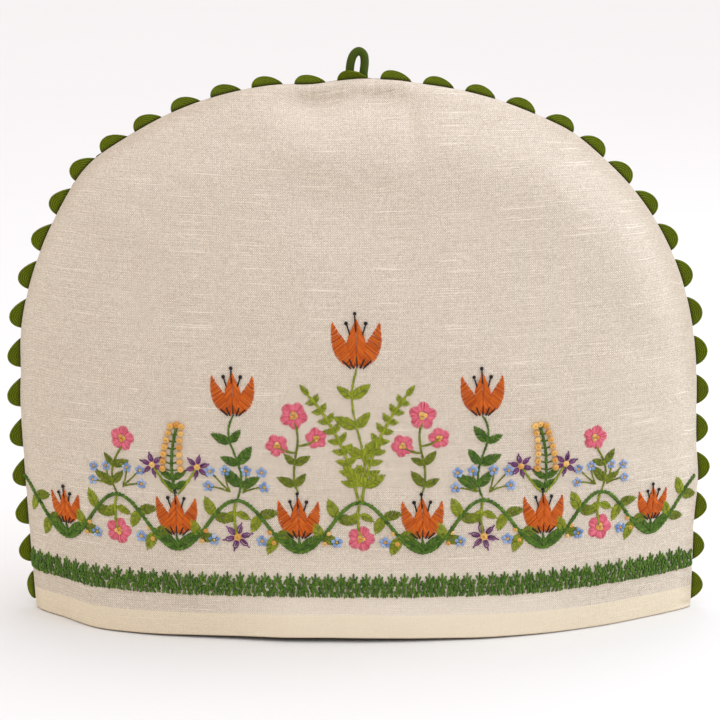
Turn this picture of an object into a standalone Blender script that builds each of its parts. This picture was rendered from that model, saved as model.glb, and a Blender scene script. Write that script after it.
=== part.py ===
"""Linen tea cosy: two domed panels, a jumbo rickrack in the arched seam and a cord loop on top.

Metres, +Z up. The cosy stands open on its hem at z = 0, its front faces -Y, and the origin is the
centre of its outline on the surface that it stands on.
"""

import bisect
import math

import bmesh
import bpy
from mathutils import Vector

# Outline of the sewn edge, seen from the front
HALF_WIDTH = 0.1808  # at the shoulder, where the cosy is widest
BASE_HALF_WIDTH = 0.1792  # at the hem
SHOULDER_Z = 0.1175  # the straight sides end here and the arch begins
ARCH_RISE = 0.1704  # from the shoulder to the top of the arch
ARCH_POWER = 2.33  # 2 would be a true ellipse; more makes fuller shoulders
SIDE_LEAN = 0.0235  # the arch leans to -X by this much per metre of height
LEAN_PIVOT_Z = 0.081

# How far the cloth stands out from the seam's plane
BASE_DEPTH = 0.0520  # at the middle of the hem
DRAW_IN = 0.25  # share of that depth lost by the top of the arch
PROFILE_POWER = 2.25
EDGE_POWER = 0.60  # under 1 the cloth leaves the seam steeply, near 1 it leaves as a lens
BASE_FADE_Z = 0.090  # height over which the hem's own plan fades into the general one

# Cloth
SHEET = 0.0020
HEM_EXTRA = 0.0010  # the turned-up hem is this much thicker, on the inside
HEM_DEPTH = 0.0135
HEM_STEP = 0.0007
HEM_LIFT = 0.0025  # the front hem arches off the surface by this much
HEM_LIFT_X = 0.006
HEM_LIFT_SPREAD = 0.055
HEM_LIFT_FADE_Z = 0.060
NIP_POWER = 30  # how close to the seam the front's left corner is nipped in
NIP_FADE_Z = 0.050

# Rickrack
GAP = 0.0003  # kept between neighbouring pieces
TRIM_THICKNESS = 0.0016
SCALLOPS = 37
SCALLOP_STEPS = 3  # straight edges round each side of a scallop
FIRST_CREST_Z = 0.0127  # height of the lowest crest on the left side
LAST_CREST_Z = 0.0132  # and on the right side
SCALLOP_HALF_CHORD = 0.0081  # half the length of seam that one scallop covers
TAIL_POWERS = (1.6, 1.0)  # a scallop's straight side, along the seam and away from it
FULL_POWERS = (2.6, 2.0)  # its full side
VALLEY_RUN = 0.0006  # the valley between scallops is reached this far past a scallop's end
BRAID_INSIDE = 0.0070  # mean depth of the half that is hidden inside the seam
BRAID_INSIDE_WAVE = 0.0025
TIP_PIVOT_RISE = 0.0011  # scallops tip over from just outside the seam
TOP_TIP = math.radians(52.0)  # backward tip of the scallops along the top
LOOP_TIP = math.radians(70.0)  # the cord pushes the scallop before it this much forward
LOOP_TIP_SPREAD = 0.011
END_TIP = math.radians(52.0)  # the last scallop on the left curls back

# Loop
LOOP_X = -0.0019
CORD_RADIUS = 0.0022
TAB_THICKNESS = 0.0012
TAB_HALF_WIDTH = 0.0026
TAB_DEPTH = 0.0080
CORD_ROUND_RISE = 0.0036  # the flattened ends are round again this far above the seam
BEND_ROOM = 0.0001  # kept free behind the braid where the cord swells out of its flat ends
CORD_STEPS = 4  # sections between two points of the route
CORD_SIDES = 12
SEAM_SPREAD_X = 0.016  # the back panel's edge bulges over this half-width to let the cord in

RIM_Y = TRIM_THICKNESS / 2 + GAP
TAB_Y = RIM_Y + TAB_THICKNESS / 2
LOOP_RIM_Y = RIM_Y + TAB_THICKNESS + GAP + BEND_ROOM

SEAM_SWELLS = (
    # centre x, centre z, push outwards, spread
    (-0.1760, 0.1950, -0.0011, 0.034),
    (-0.1400, 0.2465, 0.0024, 0.020),  # the left shoulder stands out
    (-0.1805, 0.1360, -0.0010, 0.014),
    (0.1800, 0.0740, 0.0017, 0.016),
    (0.1130, 0.2600, 0.0011, 0.015),
)

SEAM_RIPPLES = (
    # centre x, rise, spread
    (0.0030, 0.0010, 0.012),  # pushed up by the cord
    (0.0200, 0.0006, 0.008),
    (-0.0260, -0.0015, 0.012),
)

FRONT_FOLDS = (
    # centre x, centre z, spread x, spread z, push outwards, and how close to the seam it reaches
    (-0.004, 0.2790, 0.034, 0.0065, -0.0062, 40),  # trough under the loop
    (-0.028, 0.2640, 0.018, 0.0080, 0.0020, 12),  # puff below it on the left
    (0.014, 0.2520, 0.012, 0.0120, 0.0014, 12),  # puff below it on the right
    (0.034, 0.2660, 0.006, 0.0150, -0.0018, 12),  # crease that runs down from the loop
    (-0.010, 0.2250, 0.030, 0.0160, -0.0016, 12),  # shallow dish above the middle
    (0.150, 0.1500, 0.016, 0.0080, -0.0016, 12),  # drag lines at the right side
    (0.155, 0.1720, 0.014, 0.0070, 0.0012, 12),
    (0.150, 0.0950, 0.018, 0.0100, -0.0012, 12),
    (-0.168, 0.0900, 0.006, 0.0300, -0.0016, 12),  # slack beside the left seam
    (-0.166, 0.0000, 0.017, 0.0450, -0.0110, 12),  # the left corner is pinched in
)

BACK_FOLDS = (
    # as above
    (0.020, 0.2720, 0.030, 0.0080, -0.0020, 12),
    (-0.060, 0.2300, 0.040, 0.0200, -0.0016, 12),
    (0.120, 0.1400, 0.022, 0.0120, -0.0016, 12),
    (-0.140, 0.1100, 0.020, 0.0140, -0.0014, 12),
    (0.030, 0.0600, 0.050, 0.0300, -0.0018, 12),
)

SCALLOP_SHAPES = (
    # share of the seam from the left end, rise, shift of the crest towards that end,
    # fullness of the side before the crest and of the side after it, rise of the valleys
    (0.00, 0.0068, 0.0012, 0.9, 0.1, -0.0012),
    (0.05, 0.0073, 0.0018, 1.0, 0.0, -0.0012),
    (0.25, 0.0071, 0.0020, 1.0, 0.0, -0.0012),
    (0.28, 0.0070, 0.0020, 1.0, 0.0, 0.0000),
    (0.31, 0.0069, 0.0020, 1.0, 0.0, 0.0005),  # the braid shows between these scallops too
    (0.33, 0.0068, 0.0020, 1.0, 0.0, 0.0005),
    (0.36, 0.0067, 0.0020, 1.0, 0.1, -0.0003),
    (0.38, 0.0066, 0.0019, 1.0, 0.1, -0.0012),
    (0.48, 0.0062, 0.0019, 0.9, 0.2, -0.0012),
    (0.50, 0.0048, 0.0016, 0.8, 0.1, -0.0012),  # pressed down before the cord
    (0.52, 0.0059, 0.0019, 0.9, 0.2, -0.0012),
    (0.58, 0.0060, 0.0012, 0.7, 0.3, -0.0012),
    (0.64, 0.0064, -0.0010, 0.3, 0.7, -0.0012),
    (0.72, 0.0066, -0.0016, 0.2, 0.9, -0.0012),
    (0.84, 0.0066, -0.0006, 0.3, 0.4, -0.0012),
    (1.00, 0.0065, -0.0004, 0.3, 0.2, -0.0012),
)

DRIFTS = (
    # share of the seam from the left end, how far the scallops are stitched ahead of an even pitch
    (0.00, 0.0000),
    (0.08, -0.0006),
    (0.15, 0.0012),
    (0.28, 0.0008),
    (0.36, -0.0022),
    (0.45, -0.0016),
    (0.53, 0.0002),
    (0.65, 0.0024),
    (0.70, -0.0010),
    (0.78, -0.0018),
    (0.92, -0.0024),
    (1.00, 0.0006),
)

LOOP_ROUTE = (
    # x from the loop's centre, y, height above the seam
    (-0.0036, TAB_Y, -TAB_DEPTH),
    (-0.0036, TAB_Y + BEND_ROOM, 0.0000),
    (-0.0034, 0.0034, 0.0038),
    (-0.0028, 0.0037, 0.0083),
    (-0.0013, 0.0038, 0.0120),
    (0.0013, 0.0039, 0.0137),
    (0.0037, 0.0038, 0.0120),
    (0.0043, 0.0037, 0.0083),
    (0.0039, 0.0034, 0.0038),
    (0.0034, TAB_Y + BEND_ROOM, 0.0000),
    (0.0036, TAB_Y, -TAB_DEPTH),
)

RINGS = (0.0, 0.18, 0.36, 0.54, 0.70, 0.82, 0.905, 0.955, 0.985, 1.0)
SIDE_LEVELS = (0.0, HEM_DEPTH, HEM_DEPTH + HEM_STEP, 0.034, 0.054, 0.076, 0.097, SHOULDER_Z)
ARCH_SEGMENTS = 48
ARCH_SAMPLES = 480
PATH_SIDE = 120
PATH_SMOOTHING = 3

LINEN = ("cream linen", (0.66, 0.56, 0.45, 1.0), 0.9)
BRAID = ("green braid", (0.085, 0.165, 0.014, 1.0), 0.75)
CORD = ("green cord", (0.060, 0.130, 0.014, 1.0), 0.7)


def bump(distance, spread):
    """A smooth hump of height 1."""
    return math.exp(-((distance / spread) ** 2))


def table_row(table, position):
    """Straight-line reading of a table by its first column; gives its other columns."""
    position = min(max(position, table[0][0]), table[-1][0])
    for (start, *lows), (end, *highs) in zip(table, table[1:]):
        if position <= end:
            share = (position - start) / (end - start)
            break
    return [low + (high - low) * share for low, high in zip(lows, highs)]


def lean_x(z):
    return -SIDE_LEAN * (z - LEAN_PIVOT_Z)


def side_half_width(z):
    """Half the width of the sewn edge at a height up to the shoulder."""
    below = (SHOULDER_Z - z) / SHOULDER_Z
    return HALF_WIDTH - (HALF_WIDTH - BASE_HALF_WIDTH) * below**2


def arch_point(angle):
    """Point of the arch before it leans, at an angle from +X in radians."""
    across = math.cos(angle)
    up = max(math.sin(angle), 0.0)
    x = math.copysign(abs(across) ** (2 / ARCH_POWER), across) * HALF_WIDTH
    return x, SHOULDER_Z + up ** (2 / ARCH_POWER) * ARCH_RISE


def even_arch(segments):
    """Points of the arch from left to right, spaced evenly along it."""
    fine = [Vector(arch_point(math.pi * (1 - step / ARCH_SAMPLES))) for step in range(ARCH_SAMPLES + 1)]
    total = sum((after - before).length for before, after in zip(fine, fine[1:]))
    even = [fine[0]]
    passed = 0.0
    for before, after in zip(fine, fine[1:]):
        length = (after - before).length
        while len(even) < segments and passed + length >= total * len(even) / segments:
            even.append(before.lerp(after, (total * len(even) / segments - passed) / length))
        passed += length
    return [(point.x, point.y) for point in [*even, fine[-1]]]


def swelled(x, z):
    """A point of the sewn edge pushed in or out by hand-made unevenness."""
    out_x, out_z = x / HALF_WIDTH, max(z - SHOULDER_Z, 0.0) / ARCH_RISE
    push = 0.0
    for centre_x, centre_z, swell, spread in SEAM_SWELLS:
        push += swell * bump(math.hypot(x - centre_x, z - centre_z), spread)
    return x + push * out_x, z + push * out_z


def near_top(z):
    return z > SHOULDER_Z + ARCH_RISE / 2


def seam_ripple(x, z):
    """Rise of the sewn edge near the top."""
    if not near_top(z):
        return 0.0
    return sum(rise * bump(x - centre, spread) for centre, rise, spread in SEAM_RIPPLES)


def loop_room(x, z):
    """How far a panel's edge steps back where the loop's ends pass in."""
    if not near_top(z):
        return 0.0
    return (LOOP_RIM_Y - RIM_Y) * math.exp(-(((x - LOOP_X) / SEAM_SPREAD_X) ** 6))


FRONT = {
    "side": -1,
    "left_power": 0.50,
    "right_power": 1.02,
    "left_nip": 0.75,
    "folds": FRONT_FOLDS,
    "hem_lift": HEM_LIFT,
    "holds_loop": False,
}
BACK = {
    "side": 1,
    "left_power": 0.70,
    "right_power": 0.60,
    "left_nip": 0.0,
    "folds": BACK_FOLDS,
    "hem_lift": 0.0,
    "holds_loop": True,
}


def seam_stations():
    """Places along the sewn edge, from the left end of the hem over the top to the right end.

    Each is (x, z, level, on_rim): level is the height on a straight side and None on the arch,
    and on_rim marks the line along the middle of the hem's lower edge.
    """
    sides = [(0.0, True)] + [(level, False) for level in SIDE_LEVELS]
    stations = []
    for level, on_rim in sides:
        x, _ = swelled(-side_half_width(level), level)
        stations.append((x, level, level, on_rim))
    for point in even_arch(ARCH_SEGMENTS)[1:-1]:
        stations.append((*swelled(*point), None, False))
    for level, on_rim in reversed(sides):
        x, _ = swelled(side_half_width(level), level)
        stations.append((x, level, level, on_rim))
    return stations


def cloth_depth(x, z, ring, shape):
    """Distance of the outer skin from the seam's plane."""
    toward_right = 0.5 + 0.5 * math.tanh(2 * x / HALF_WIDTH)
    at_base = shape["left_power"] + (shape["right_power"] - shape["left_power"]) * toward_right
    power = EDGE_POWER + (at_base - EDGE_POWER) * bump(z, BASE_FADE_Z)
    full = BASE_DEPTH * (1 - DRAW_IN * (z / (SHOULDER_Z + ARCH_RISE)) ** 2)
    nip = shape["left_nip"] * (1 - toward_right) * bump(z, NIP_FADE_Z) * ring**NIP_POWER
    depth = full * max(1 - ring**PROFILE_POWER, 0.0) ** power * (1 - nip)
    for centre_x, centre_z, spread_x, spread_z, push, hold in shape["folds"]:
        depth += push * bump(x - centre_x, spread_x) * bump(z - centre_z, spread_z) * (1 - ring**hold)
    return depth


def panel_point(station, ring, is_inner, shape):
    """Where one point of a panel lies; ring runs from 0 in the middle to 1 at the seam."""
    seam_x, seam_z, level, on_rim = station
    thickness = 0.0
    if is_inner or on_rim:
        in_hem = level is not None and level <= HEM_DEPTH
        thickness = (SHEET + (HEM_EXTRA if in_hem else 0.0)) * (0.5 if on_rim else 1.0)
    shrink = 1 - thickness / HALF_WIDTH
    flat_x = seam_x * ring
    z = level if level is not None else SHOULDER_Z + (seam_z - SHOULDER_Z) * ring
    x = flat_x + lean_x(z)
    depth = cloth_depth(x, z, ring, shape) - thickness * (1 - ring**6)
    lift = shape["hem_lift"] * bump(x - HEM_LIFT_X, HEM_LIFT_SPREAD) * max(1 - z / HEM_LIFT_FADE_Z, 0.0)
    if level is None:
        z = SHOULDER_Z + (z - SHOULDER_Z) * shrink
    edge_x = seam_x + lean_x(seam_z)
    rise = seam_ripple(edge_x, seam_z) * ring**6
    room = loop_room(edge_x, seam_z) * ring**12 if shape["holds_loop"] else 0.0
    y = shape["side"] * (RIM_Y + depth + room)
    return Vector((flat_x * shrink + lean_x(z), y, z + lift + rise))


def make_panel(name, shape, finish, collection):
    """A closed sheet: one grid runs out over the outer skin to the seam and back over the inner."""
    stations = seam_stations()
    rows = [(ring, False) for ring in RINGS] + [(ring, True) for ring in reversed(RINGS)]
    columns, lines = len(stations) - 1, len(rows) - 1
    grid = bmesh.new()
    bmesh.ops.create_grid(grid, x_segments=columns, y_segments=lines, size=1.0)
    for vertex in grid.verts:
        station = stations[round((vertex.co.x + 1) / 2 * columns)]
        ring, is_inner = rows[round((vertex.co.y + 1) / 2 * lines)]
        vertex.co = panel_point(station, ring, is_inner, shape)
    add_object(name, grid, finish, collection)


def make_band(name, sections, finish, collection):
    """A closed body through a row of like sections, each a loop of the same number of corners."""
    columns, lines = len(sections) - 1, len(sections[0])
    grid = bmesh.new()
    bmesh.ops.create_grid(grid, x_segments=columns, y_segments=lines, size=1.0)
    for vertex in grid.verts:
        section = sections[round((vertex.co.x + 1) / 2 * columns)]
        vertex.co = section[round((vertex.co.y + 1) / 2 * lines) % lines]
    bmesh.ops.remove_doubles(grid, verts=grid.verts, dist=GAP / 100)
    bmesh.ops.holes_fill(grid, edges=[edge for edge in grid.edges if edge.is_boundary])
    add_object(name, grid, finish, collection)


def add_object(name, built, finish, collection):
    """Weld the built mesh, turn its faces outwards and put it in the collection."""
    bmesh.ops.remove_doubles(built, verts=built.verts, dist=GAP / 100)
    bmesh.ops.recalc_face_normals(built, faces=built.faces)
    mesh = bpy.data.meshes.new(name)
    built.to_mesh(mesh)
    built.free()
    mesh.shade_smooth()
    mesh.set_sharp_from_angle(angle=math.radians(50.0))
    material_name, colour, roughness = finish
    material = bpy.data.materials.get(material_name) or bpy.data.materials.new(material_name)
    material.use_nodes = True
    surface = material.node_tree.nodes["Principled BSDF"]
    surface.inputs["Base Color"].default_value = colour
    surface.inputs["Roughness"].default_value = roughness
    surface.inputs["Metallic"].default_value = 0.0
    mesh.materials.append(material)
    collection.objects.link(bpy.data.objects.new(name, mesh))


def seam_path():
    """The sewn edge as close points, with the length along it at each."""
    left = [SHOULDER_Z * step / PATH_SIDE for step in range(PATH_SIDE)]
    flat = [(-side_half_width(z), z) for z in left]
    flat += even_arch(ARCH_SAMPLES)
    flat += [(side_half_width(z), z) for z in reversed(left)]
    points = []
    for flat_point in flat:
        x, z = swelled(*flat_point)
        x += lean_x(z)
        points.append(Vector((x, 0.0, z + seam_ripple(x, z))))
    lengths = [0.0]
    for before, after in zip(points, points[1:]):
        lengths.append(lengths[-1] + (after - before).length)
    return lengths, points


def place_on_path(path, length):
    """Point of the sewn edge at a length along it, and the direction that points outwards there."""
    lengths, points = path
    index = min(max(bisect.bisect_right(lengths, length), 1), len(points) - 1)
    share = (length - lengths[index - 1]) / (lengths[index] - lengths[index - 1])
    ahead = points[min(index + PATH_SMOOTHING, len(points) - 1)]
    behind = points[max(index - 1 - PATH_SMOOTHING, 0)]
    along = (ahead - behind).normalized()
    return points[index - 1].lerp(points[index], share), Vector((-along.z, 0.0, along.x))


def length_at_height(path, z, from_left):
    """Length along the sewn edge where the left or the right side passes a height."""
    pairs = list(zip(*path))
    if not from_left:
        pairs.reverse()
    return next(length for length, point in pairs if point.z >= z)


def scallop_outline(share):
    """One scallop from valley to valley: place along the seam from its middle, and rise."""
    valley = SCALLOP_HALF_CHORD + VALLEY_RUN
    rise, shift, before, after, valley_rise = table_row(SCALLOP_SHAPES, share)
    outline = []
    for step in range(-SCALLOP_STEPS, SCALLOP_STEPS + 1):
        turn = math.pi / 2 * abs(step) / SCALLOP_STEPS
        full = after if step > 0 else before
        power, out_power = (tail + (fat - tail) * full for tail, fat in zip(TAIL_POWERS, FULL_POWERS))
        reach = SCALLOP_HALF_CHORD + math.copysign(shift, step)
        along = math.copysign(reach * math.sin(turn) ** (2 / power), step) - shift
        outline.append((along, rise * max(math.cos(turn), 0.0) ** (2 / out_power)))
    return [(-valley, valley_rise), *outline, (valley, valley_rise)]


def trim_tip(point, outward, order):
    """How far a scallop tips back, in radians; order counts scallops from the left."""
    tip = TOP_TIP * max(outward.z, 0.0) ** 2 + (END_TIP if order == 0 else 0.0)
    if near_top(point.z):
        tip -= LOOP_TIP * bump(point.x - LOOP_X, LOOP_TIP_SPREAD)
    return tip


def trim_section(path, length, crest, rise, order):
    """The six corners of the braid's section at a length along the seam."""
    point, outward = place_on_path(path, length)
    backward = Vector((0.0, 1.0, 0.0))
    tip = trim_tip(point, outward, order) if crest > TIP_PIVOT_RISE else 0.0
    root = min(TIP_PIVOT_RISE, crest - TRIM_THICKNESS / 2)
    hidden = BRAID_INSIDE - BRAID_INSIDE_WAVE * crest / rise
    across = backward * math.cos(tip) - outward * math.sin(tip)
    pivot = point + outward * min(crest, TIP_PIVOT_RISE)
    over = max(crest - TIP_PIVOT_RISE, 0.0)
    top = pivot + (outward * math.cos(tip) + backward * math.sin(tip)) * over
    front = [point - outward * hidden, point + outward * root]
    half = backward * TRIM_THICKNESS / 2
    tipped_half = across * TRIM_THICKNESS / 2
    return [front[0] - half, front[1] - half, top - tipped_half,
            top + tipped_half, front[1] + half, front[0] + half]


def make_trim(name, finish, collection):
    """One braid along the whole seam, its outer half in scallops."""
    path = seam_path()
    first = length_at_height(path, FIRST_CREST_Z, True)
    last = length_at_height(path, LAST_CREST_Z, False)
    sections = []
    for order in range(SCALLOPS):
        share = order / (SCALLOPS - 1)
        (drift,) = table_row(DRIFTS, share)
        middle = first + (last - first) * share + drift
        rise = table_row(SCALLOP_SHAPES, share)[0]
        for along, crest in scallop_outline(share):
            sections.append(trim_section(path, middle + along, crest, rise, order))
    make_band(name, sections, finish, collection)


def smooth_route(points, steps):
    """Points of a smooth curve through a route's points."""
    route = []
    padded = [points[0], *points, points[-1]]
    for before, start, end, after in zip(padded, padded[1:], padded[2:], padded[3:]):
        for step in range(steps):
            t = step / steps
            route.append(
                start
                + (end - before) * (t / 2)
                + (before * 2 - start * 5 + end * 4 - after) * (t**2 / 2)
                + (start * 3 - before - end * 3 + after) * (t**3 / 2)
            )
    return [*route, points[-1]]


def make_loop(name, finish, collection):
    """A round cord bent over, its ends flattened where they pass into the seam."""
    seam_z = SHOULDER_Z + ARCH_RISE + seam_ripple(LOOP_X, SHOULDER_Z + ARCH_RISE)
    points = [Vector((LOOP_X + x, y, seam_z + rise)) for x, y, rise in LOOP_ROUTE]
    route = smooth_route(points, CORD_STEPS)
    sections = []
    for index, centre in enumerate(route):
        along = route[min(index + 1, len(route) - 1)] - route[max(index - 1, 0)]
        across = Vector((along.z, 0.0, -along.x)).normalized()
        flat = 1 - min(max((centre.z - seam_z) / CORD_ROUND_RISE, 0.0), 1.0)
        flat = flat**2 * (3 - 2 * flat)
        wide = CORD_RADIUS + (TAB_HALF_WIDTH - CORD_RADIUS) * flat
        thick = CORD_RADIUS + (TAB_THICKNESS / 2 - CORD_RADIUS) * flat
        corners = []
        for side in range(CORD_SIDES):
            turn = 2 * math.pi * side / CORD_SIDES
            offset = across * (wide * math.cos(turn))
            corners.append(centre + offset + Vector((0.0, thick * math.sin(turn), 0.0)))
        sections.append(corners)
    make_band(name, sections, finish, collection)


def build():
    for old in list(bpy.data.objects):
        bpy.data.objects.remove(old, do_unlink=True)
    collection = bpy.data.collections.new("tea_cosy")
    bpy.context.scene.collection.children.link(collection)
    make_panel("front_panel", FRONT, LINEN, collection)
    make_panel("back_panel", BACK, LINEN, collection)
    make_trim("rickrack_trim", BRAID, collection)
    make_loop("hanging_loop", CORD, collection)


build()
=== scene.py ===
"""Looks of the linen tea cosy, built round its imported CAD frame.

Metres, +Z up, the cosy's front faces -Y. The two cloths, the rickrack and the cord loop follow the
same named sizes as their solids, sampled finely. Sewing, embroidery and every finish are made here.
"""

import math

import bmesh
import bpy
import numpy as np
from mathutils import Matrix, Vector


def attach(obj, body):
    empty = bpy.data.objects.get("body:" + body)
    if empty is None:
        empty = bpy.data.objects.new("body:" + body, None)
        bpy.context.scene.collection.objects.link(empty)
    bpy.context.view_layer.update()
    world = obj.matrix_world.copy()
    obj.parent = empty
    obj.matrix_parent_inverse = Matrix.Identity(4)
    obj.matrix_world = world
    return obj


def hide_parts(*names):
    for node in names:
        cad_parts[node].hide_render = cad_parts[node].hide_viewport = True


# Camera, at the photograph's angle
CAMERA_TARGET = (0.0, 0.0, 0.1394)
CAMERA_PITCH = math.radians(14.0)
CAMERA_DISTANCE = 1.1
CAMERA_LENS_MM = 103.3
CAMERA_SENSOR_MM = 36.0

# Outline of the sewn edge, as in the solids
HALF_WIDTH = 0.1808
BASE_HALF_WIDTH = 0.1792
SHOULDER_Z = 0.1175
ARCH_RISE = 0.1704
ARCH_POWER = 2.33
SIDE_POINTS = 300
ARCH_FINE_POINTS = 20001
ARCH_POINTS = 1800
FACING_POINTS = 12  # the edge's direction is taken over this many points each way
SIDE_LEAN = 0.0235
LEAN_PIVOT_Z = 0.081
TOP_Z = SHOULDER_Z + ARCH_RISE

# Depth of the cloth in front of the seam, as in the solids
BASE_DEPTH = 0.0520
DRAW_IN = 0.25
PROFILE_POWER = 2.25
EDGE_POWER = 0.60
BASE_FADE_Z = 0.090
HEM_DEPTH = 0.0135
HEM_LIFT = 0.0025  # the same rise as in the solids, over a wider stretch
HEM_LIFT_X = -0.020
HEM_LIFT_SPREAD = 0.085
HEM_LIFT_FADE_Z = 0.060
NIP_POWER = 30
NIP_FADE_Z = 0.050

# Rickrack, as in the solids
GAP = 0.0003
TRIM_THICKNESS = 0.0016
SCALLOPS = 37
FIRST_CREST_Z = 0.0127
LAST_CREST_Z = 0.0132
SCALLOP_HALF_CHORD = 0.0081
BRAID_INSIDE = 0.0070
BRAID_INSIDE_WAVE = 0.0025
BRAID_INSIDE_SPREAD = 0.006
TIP_PIVOT_RISE = 0.0011
TOP_TIP = math.radians(52.0)
LOOP_TIP = math.radians(70.0)
LOOP_TIP_SPREAD = 0.011
END_TIP = math.radians(52.0)

# Weave of the rickrack
RIBS = 6
RIB_PITCH = 0.0011  # between ribs, in the braid's own flat coordinates
RIB_DEPTH = 0.55
RIB_STEPS = 4
TURN_STEPS = 34
EDGE_SHARE = 0.90  # the braid's face rounds off over its outer tenth
EDGE_RINGS = (0.985, 0.995)  # extra rows where it does
BAND_ROWS = 4
VALLEY_COLUMNS = 4
WEAVE_PER_TURN = 0.0055  # flat length for each radian round a scallop
WEAVE_PER_SCALLOP = 0.03  # and from one scallop's weave to the next one's
BRAID_WELD = 0.00001  # points nearer than this become one

# Loop, as in the solids
LOOP_X = -0.0019
CORD_RADIUS = 0.0022
TAB_THICKNESS = 0.0012
TAB_HALF_WIDTH = 0.0026
TAB_DEPTH = 0.0080
CORD_ROUND_RISE = 0.0036
CORD_SIDES = 28
CORD_STEPS = 14  # from one place of its route to the next
CORD_WELD = 0.000005
BEND_ROOM = 0.0001
SEAM_SPREAD_X = 0.016
RIM_Y = TRIM_THICKNESS / 2 + GAP
TAB_Y = RIM_Y + TAB_THICKNESS / 2
LOOP_RIM_Y = RIM_Y + TAB_THICKNESS + GAP + BEND_ROOM

SEAM_SWELLS = (
    # centre x, centre z, push outwards, spread
    (-0.1760, 0.1950, -0.0011, 0.034),
    (-0.1400, 0.2465, 0.0024, 0.020),
    (-0.1805, 0.1360, -0.0010, 0.014),
    (0.1800, 0.0740, 0.0017, 0.016),
    (0.1130, 0.2600, 0.0011, 0.015),
)

SEAM_RIPPLES = (
    # centre x, rise, spread
    (0.0030, 0.0010, 0.012),  # pushed up by the cord
    (0.0200, 0.0006, 0.008),
    (-0.0260, -0.0015, 0.012),
)

FRONT_FOLDS = (
    # centre x, centre z, spread x, spread z, push outwards, and how close to the seam it reaches
    (-0.024, 0.2780, 0.017, 0.0078, -0.0080, 40),  # trough under the loop
    (0.010, 0.2782, 0.018, 0.0074, -0.0070, 40),
    (-0.022, 0.2540, 0.022, 0.0110, 0.0030, 12),  # puff below it on the left
    (0.014, 0.2480, 0.011, 0.0090, 0.0020, 12),  # puff below it on the right
    (-0.010, 0.2250, 0.030, 0.0160, -0.0016, 12),  # shallow dish above the middle
    (0.150, 0.1500, 0.016, 0.0080, -0.0016, 12),  # drag lines at the right side
    (0.155, 0.1720, 0.014, 0.0070, 0.0012, 12),
    (0.150, 0.0950, 0.018, 0.0100, -0.0012, 12),
    (-0.168, 0.0900, 0.006, 0.0300, -0.0016, 12),  # slack beside the left seam
    (-0.166, 0.0000, 0.017, 0.0450, -0.0110, 12),  # the left corner is pinched in
)

FRONT_RIDGE = (
    # share of the seam from the left end, share of the way from the seam, push outwards: the
    # stuffed fold that follows the arch
    (0.24, 0.13, 0.0000),
    (0.32, 0.17, 0.0012),
    (0.40, 0.20, 0.0018),
    (0.47, 0.21, 0.0014),
    (0.52, 0.19, 0.0012),
    (0.56, 0.17, 0.0040),
    (0.64, 0.14, 0.0046),
    (0.72, 0.13, 0.0036),
    (0.79, 0.11, 0.0010),
    (0.84, 0.11, 0.0000),
)

BACK_RIDGE = (
    # as above
    (0.20, 0.14, 0.0000),
    (0.50, 0.14, 0.0016),
    (0.80, 0.14, 0.0000),
)

BACK_FOLDS = (
    # as above
    (0.020, 0.2720, 0.030, 0.0080, -0.0020, 12),
    (-0.060, 0.2300, 0.040, 0.0200, -0.0016, 12),
    (0.120, 0.1400, 0.022, 0.0120, -0.0016, 12),
    (-0.140, 0.1100, 0.020, 0.0140, -0.0014, 12),
    (0.030, 0.0600, 0.050, 0.0300, -0.0018, 12),
)

SCALLOP_SHAPES = (
    # share of the seam from the left end, rise, shift of the crest towards that end,
    # fullness of the side before the crest and of the side after it, rise of the valleys
    (0.00, 0.0068, 0.0012, 0.9, 0.1, -0.0012),
    (0.05, 0.0073, 0.0018, 1.0, 0.0, -0.0012),
    (0.25, 0.0071, 0.0020, 1.0, 0.0, -0.0012),
    (0.28, 0.0070, 0.0020, 1.0, 0.0, 0.0000),
    (0.31, 0.0069, 0.0020, 1.0, 0.0, 0.0005),  # the braid shows between these scallops too
    (0.33, 0.0068, 0.0020, 1.0, 0.0, 0.0005),
    (0.36, 0.0067, 0.0020, 1.0, 0.1, -0.0003),
    (0.38, 0.0066, 0.0019, 1.0, 0.1, -0.0012),
    (0.48, 0.0062, 0.0019, 0.9, 0.2, -0.0012),
    (0.50, 0.0048, 0.0016, 0.8, 0.1, -0.0012),  # pressed down before the cord
    (0.52, 0.0059, 0.0019, 0.9, 0.2, -0.0012),
    (0.58, 0.0060, 0.0012, 0.7, 0.3, -0.0012),
    (0.64, 0.0064, -0.0010, 0.3, 0.7, -0.0012),
    (0.72, 0.0066, -0.0016, 0.2, 0.9, -0.0012),
    (0.84, 0.0066, -0.0006, 0.3, 0.4, -0.0012),
    (1.00, 0.0065, -0.0004, 0.3, 0.2, -0.0012),
)
TAIL_POWERS = (1.6, 1.0)  # along the seam and across it
FULL_POWERS = (2.6, 2.0)

DRIFTS = (
    # share of the seam from the left end, how far the scallops are stitched ahead of an even pitch
    (0.00, 0.0000),
    (0.08, -0.0006),
    (0.15, 0.0012),
    (0.28, 0.0008),
    (0.36, -0.0022),
    (0.45, -0.0016),
    (0.53, 0.0002),
    (0.65, 0.0024),
    (0.70, -0.0010),
    (0.78, -0.0018),
    (0.92, -0.0024),
    (1.00, 0.0006),
)

LOOP_ROUTE = (
    # x from the loop's centre, y, height above the seam
    (-0.0036, TAB_Y, -TAB_DEPTH),
    (-0.0036, TAB_Y + BEND_ROOM, 0.0000),
    (-0.0034, 0.0034, 0.0038),
    (-0.0028, 0.0037, 0.0083),
    (-0.0013, 0.0038, 0.0120),
    (0.0013, 0.0039, 0.0137),
    (0.0037, 0.0038, 0.0120),
    (0.0043, 0.0037, 0.0083),
    (0.0039, 0.0034, 0.0038),
    (0.0034, TAB_Y + BEND_ROOM, 0.0000),
    (0.0036, TAB_Y, -TAB_DEPTH),
)

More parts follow.
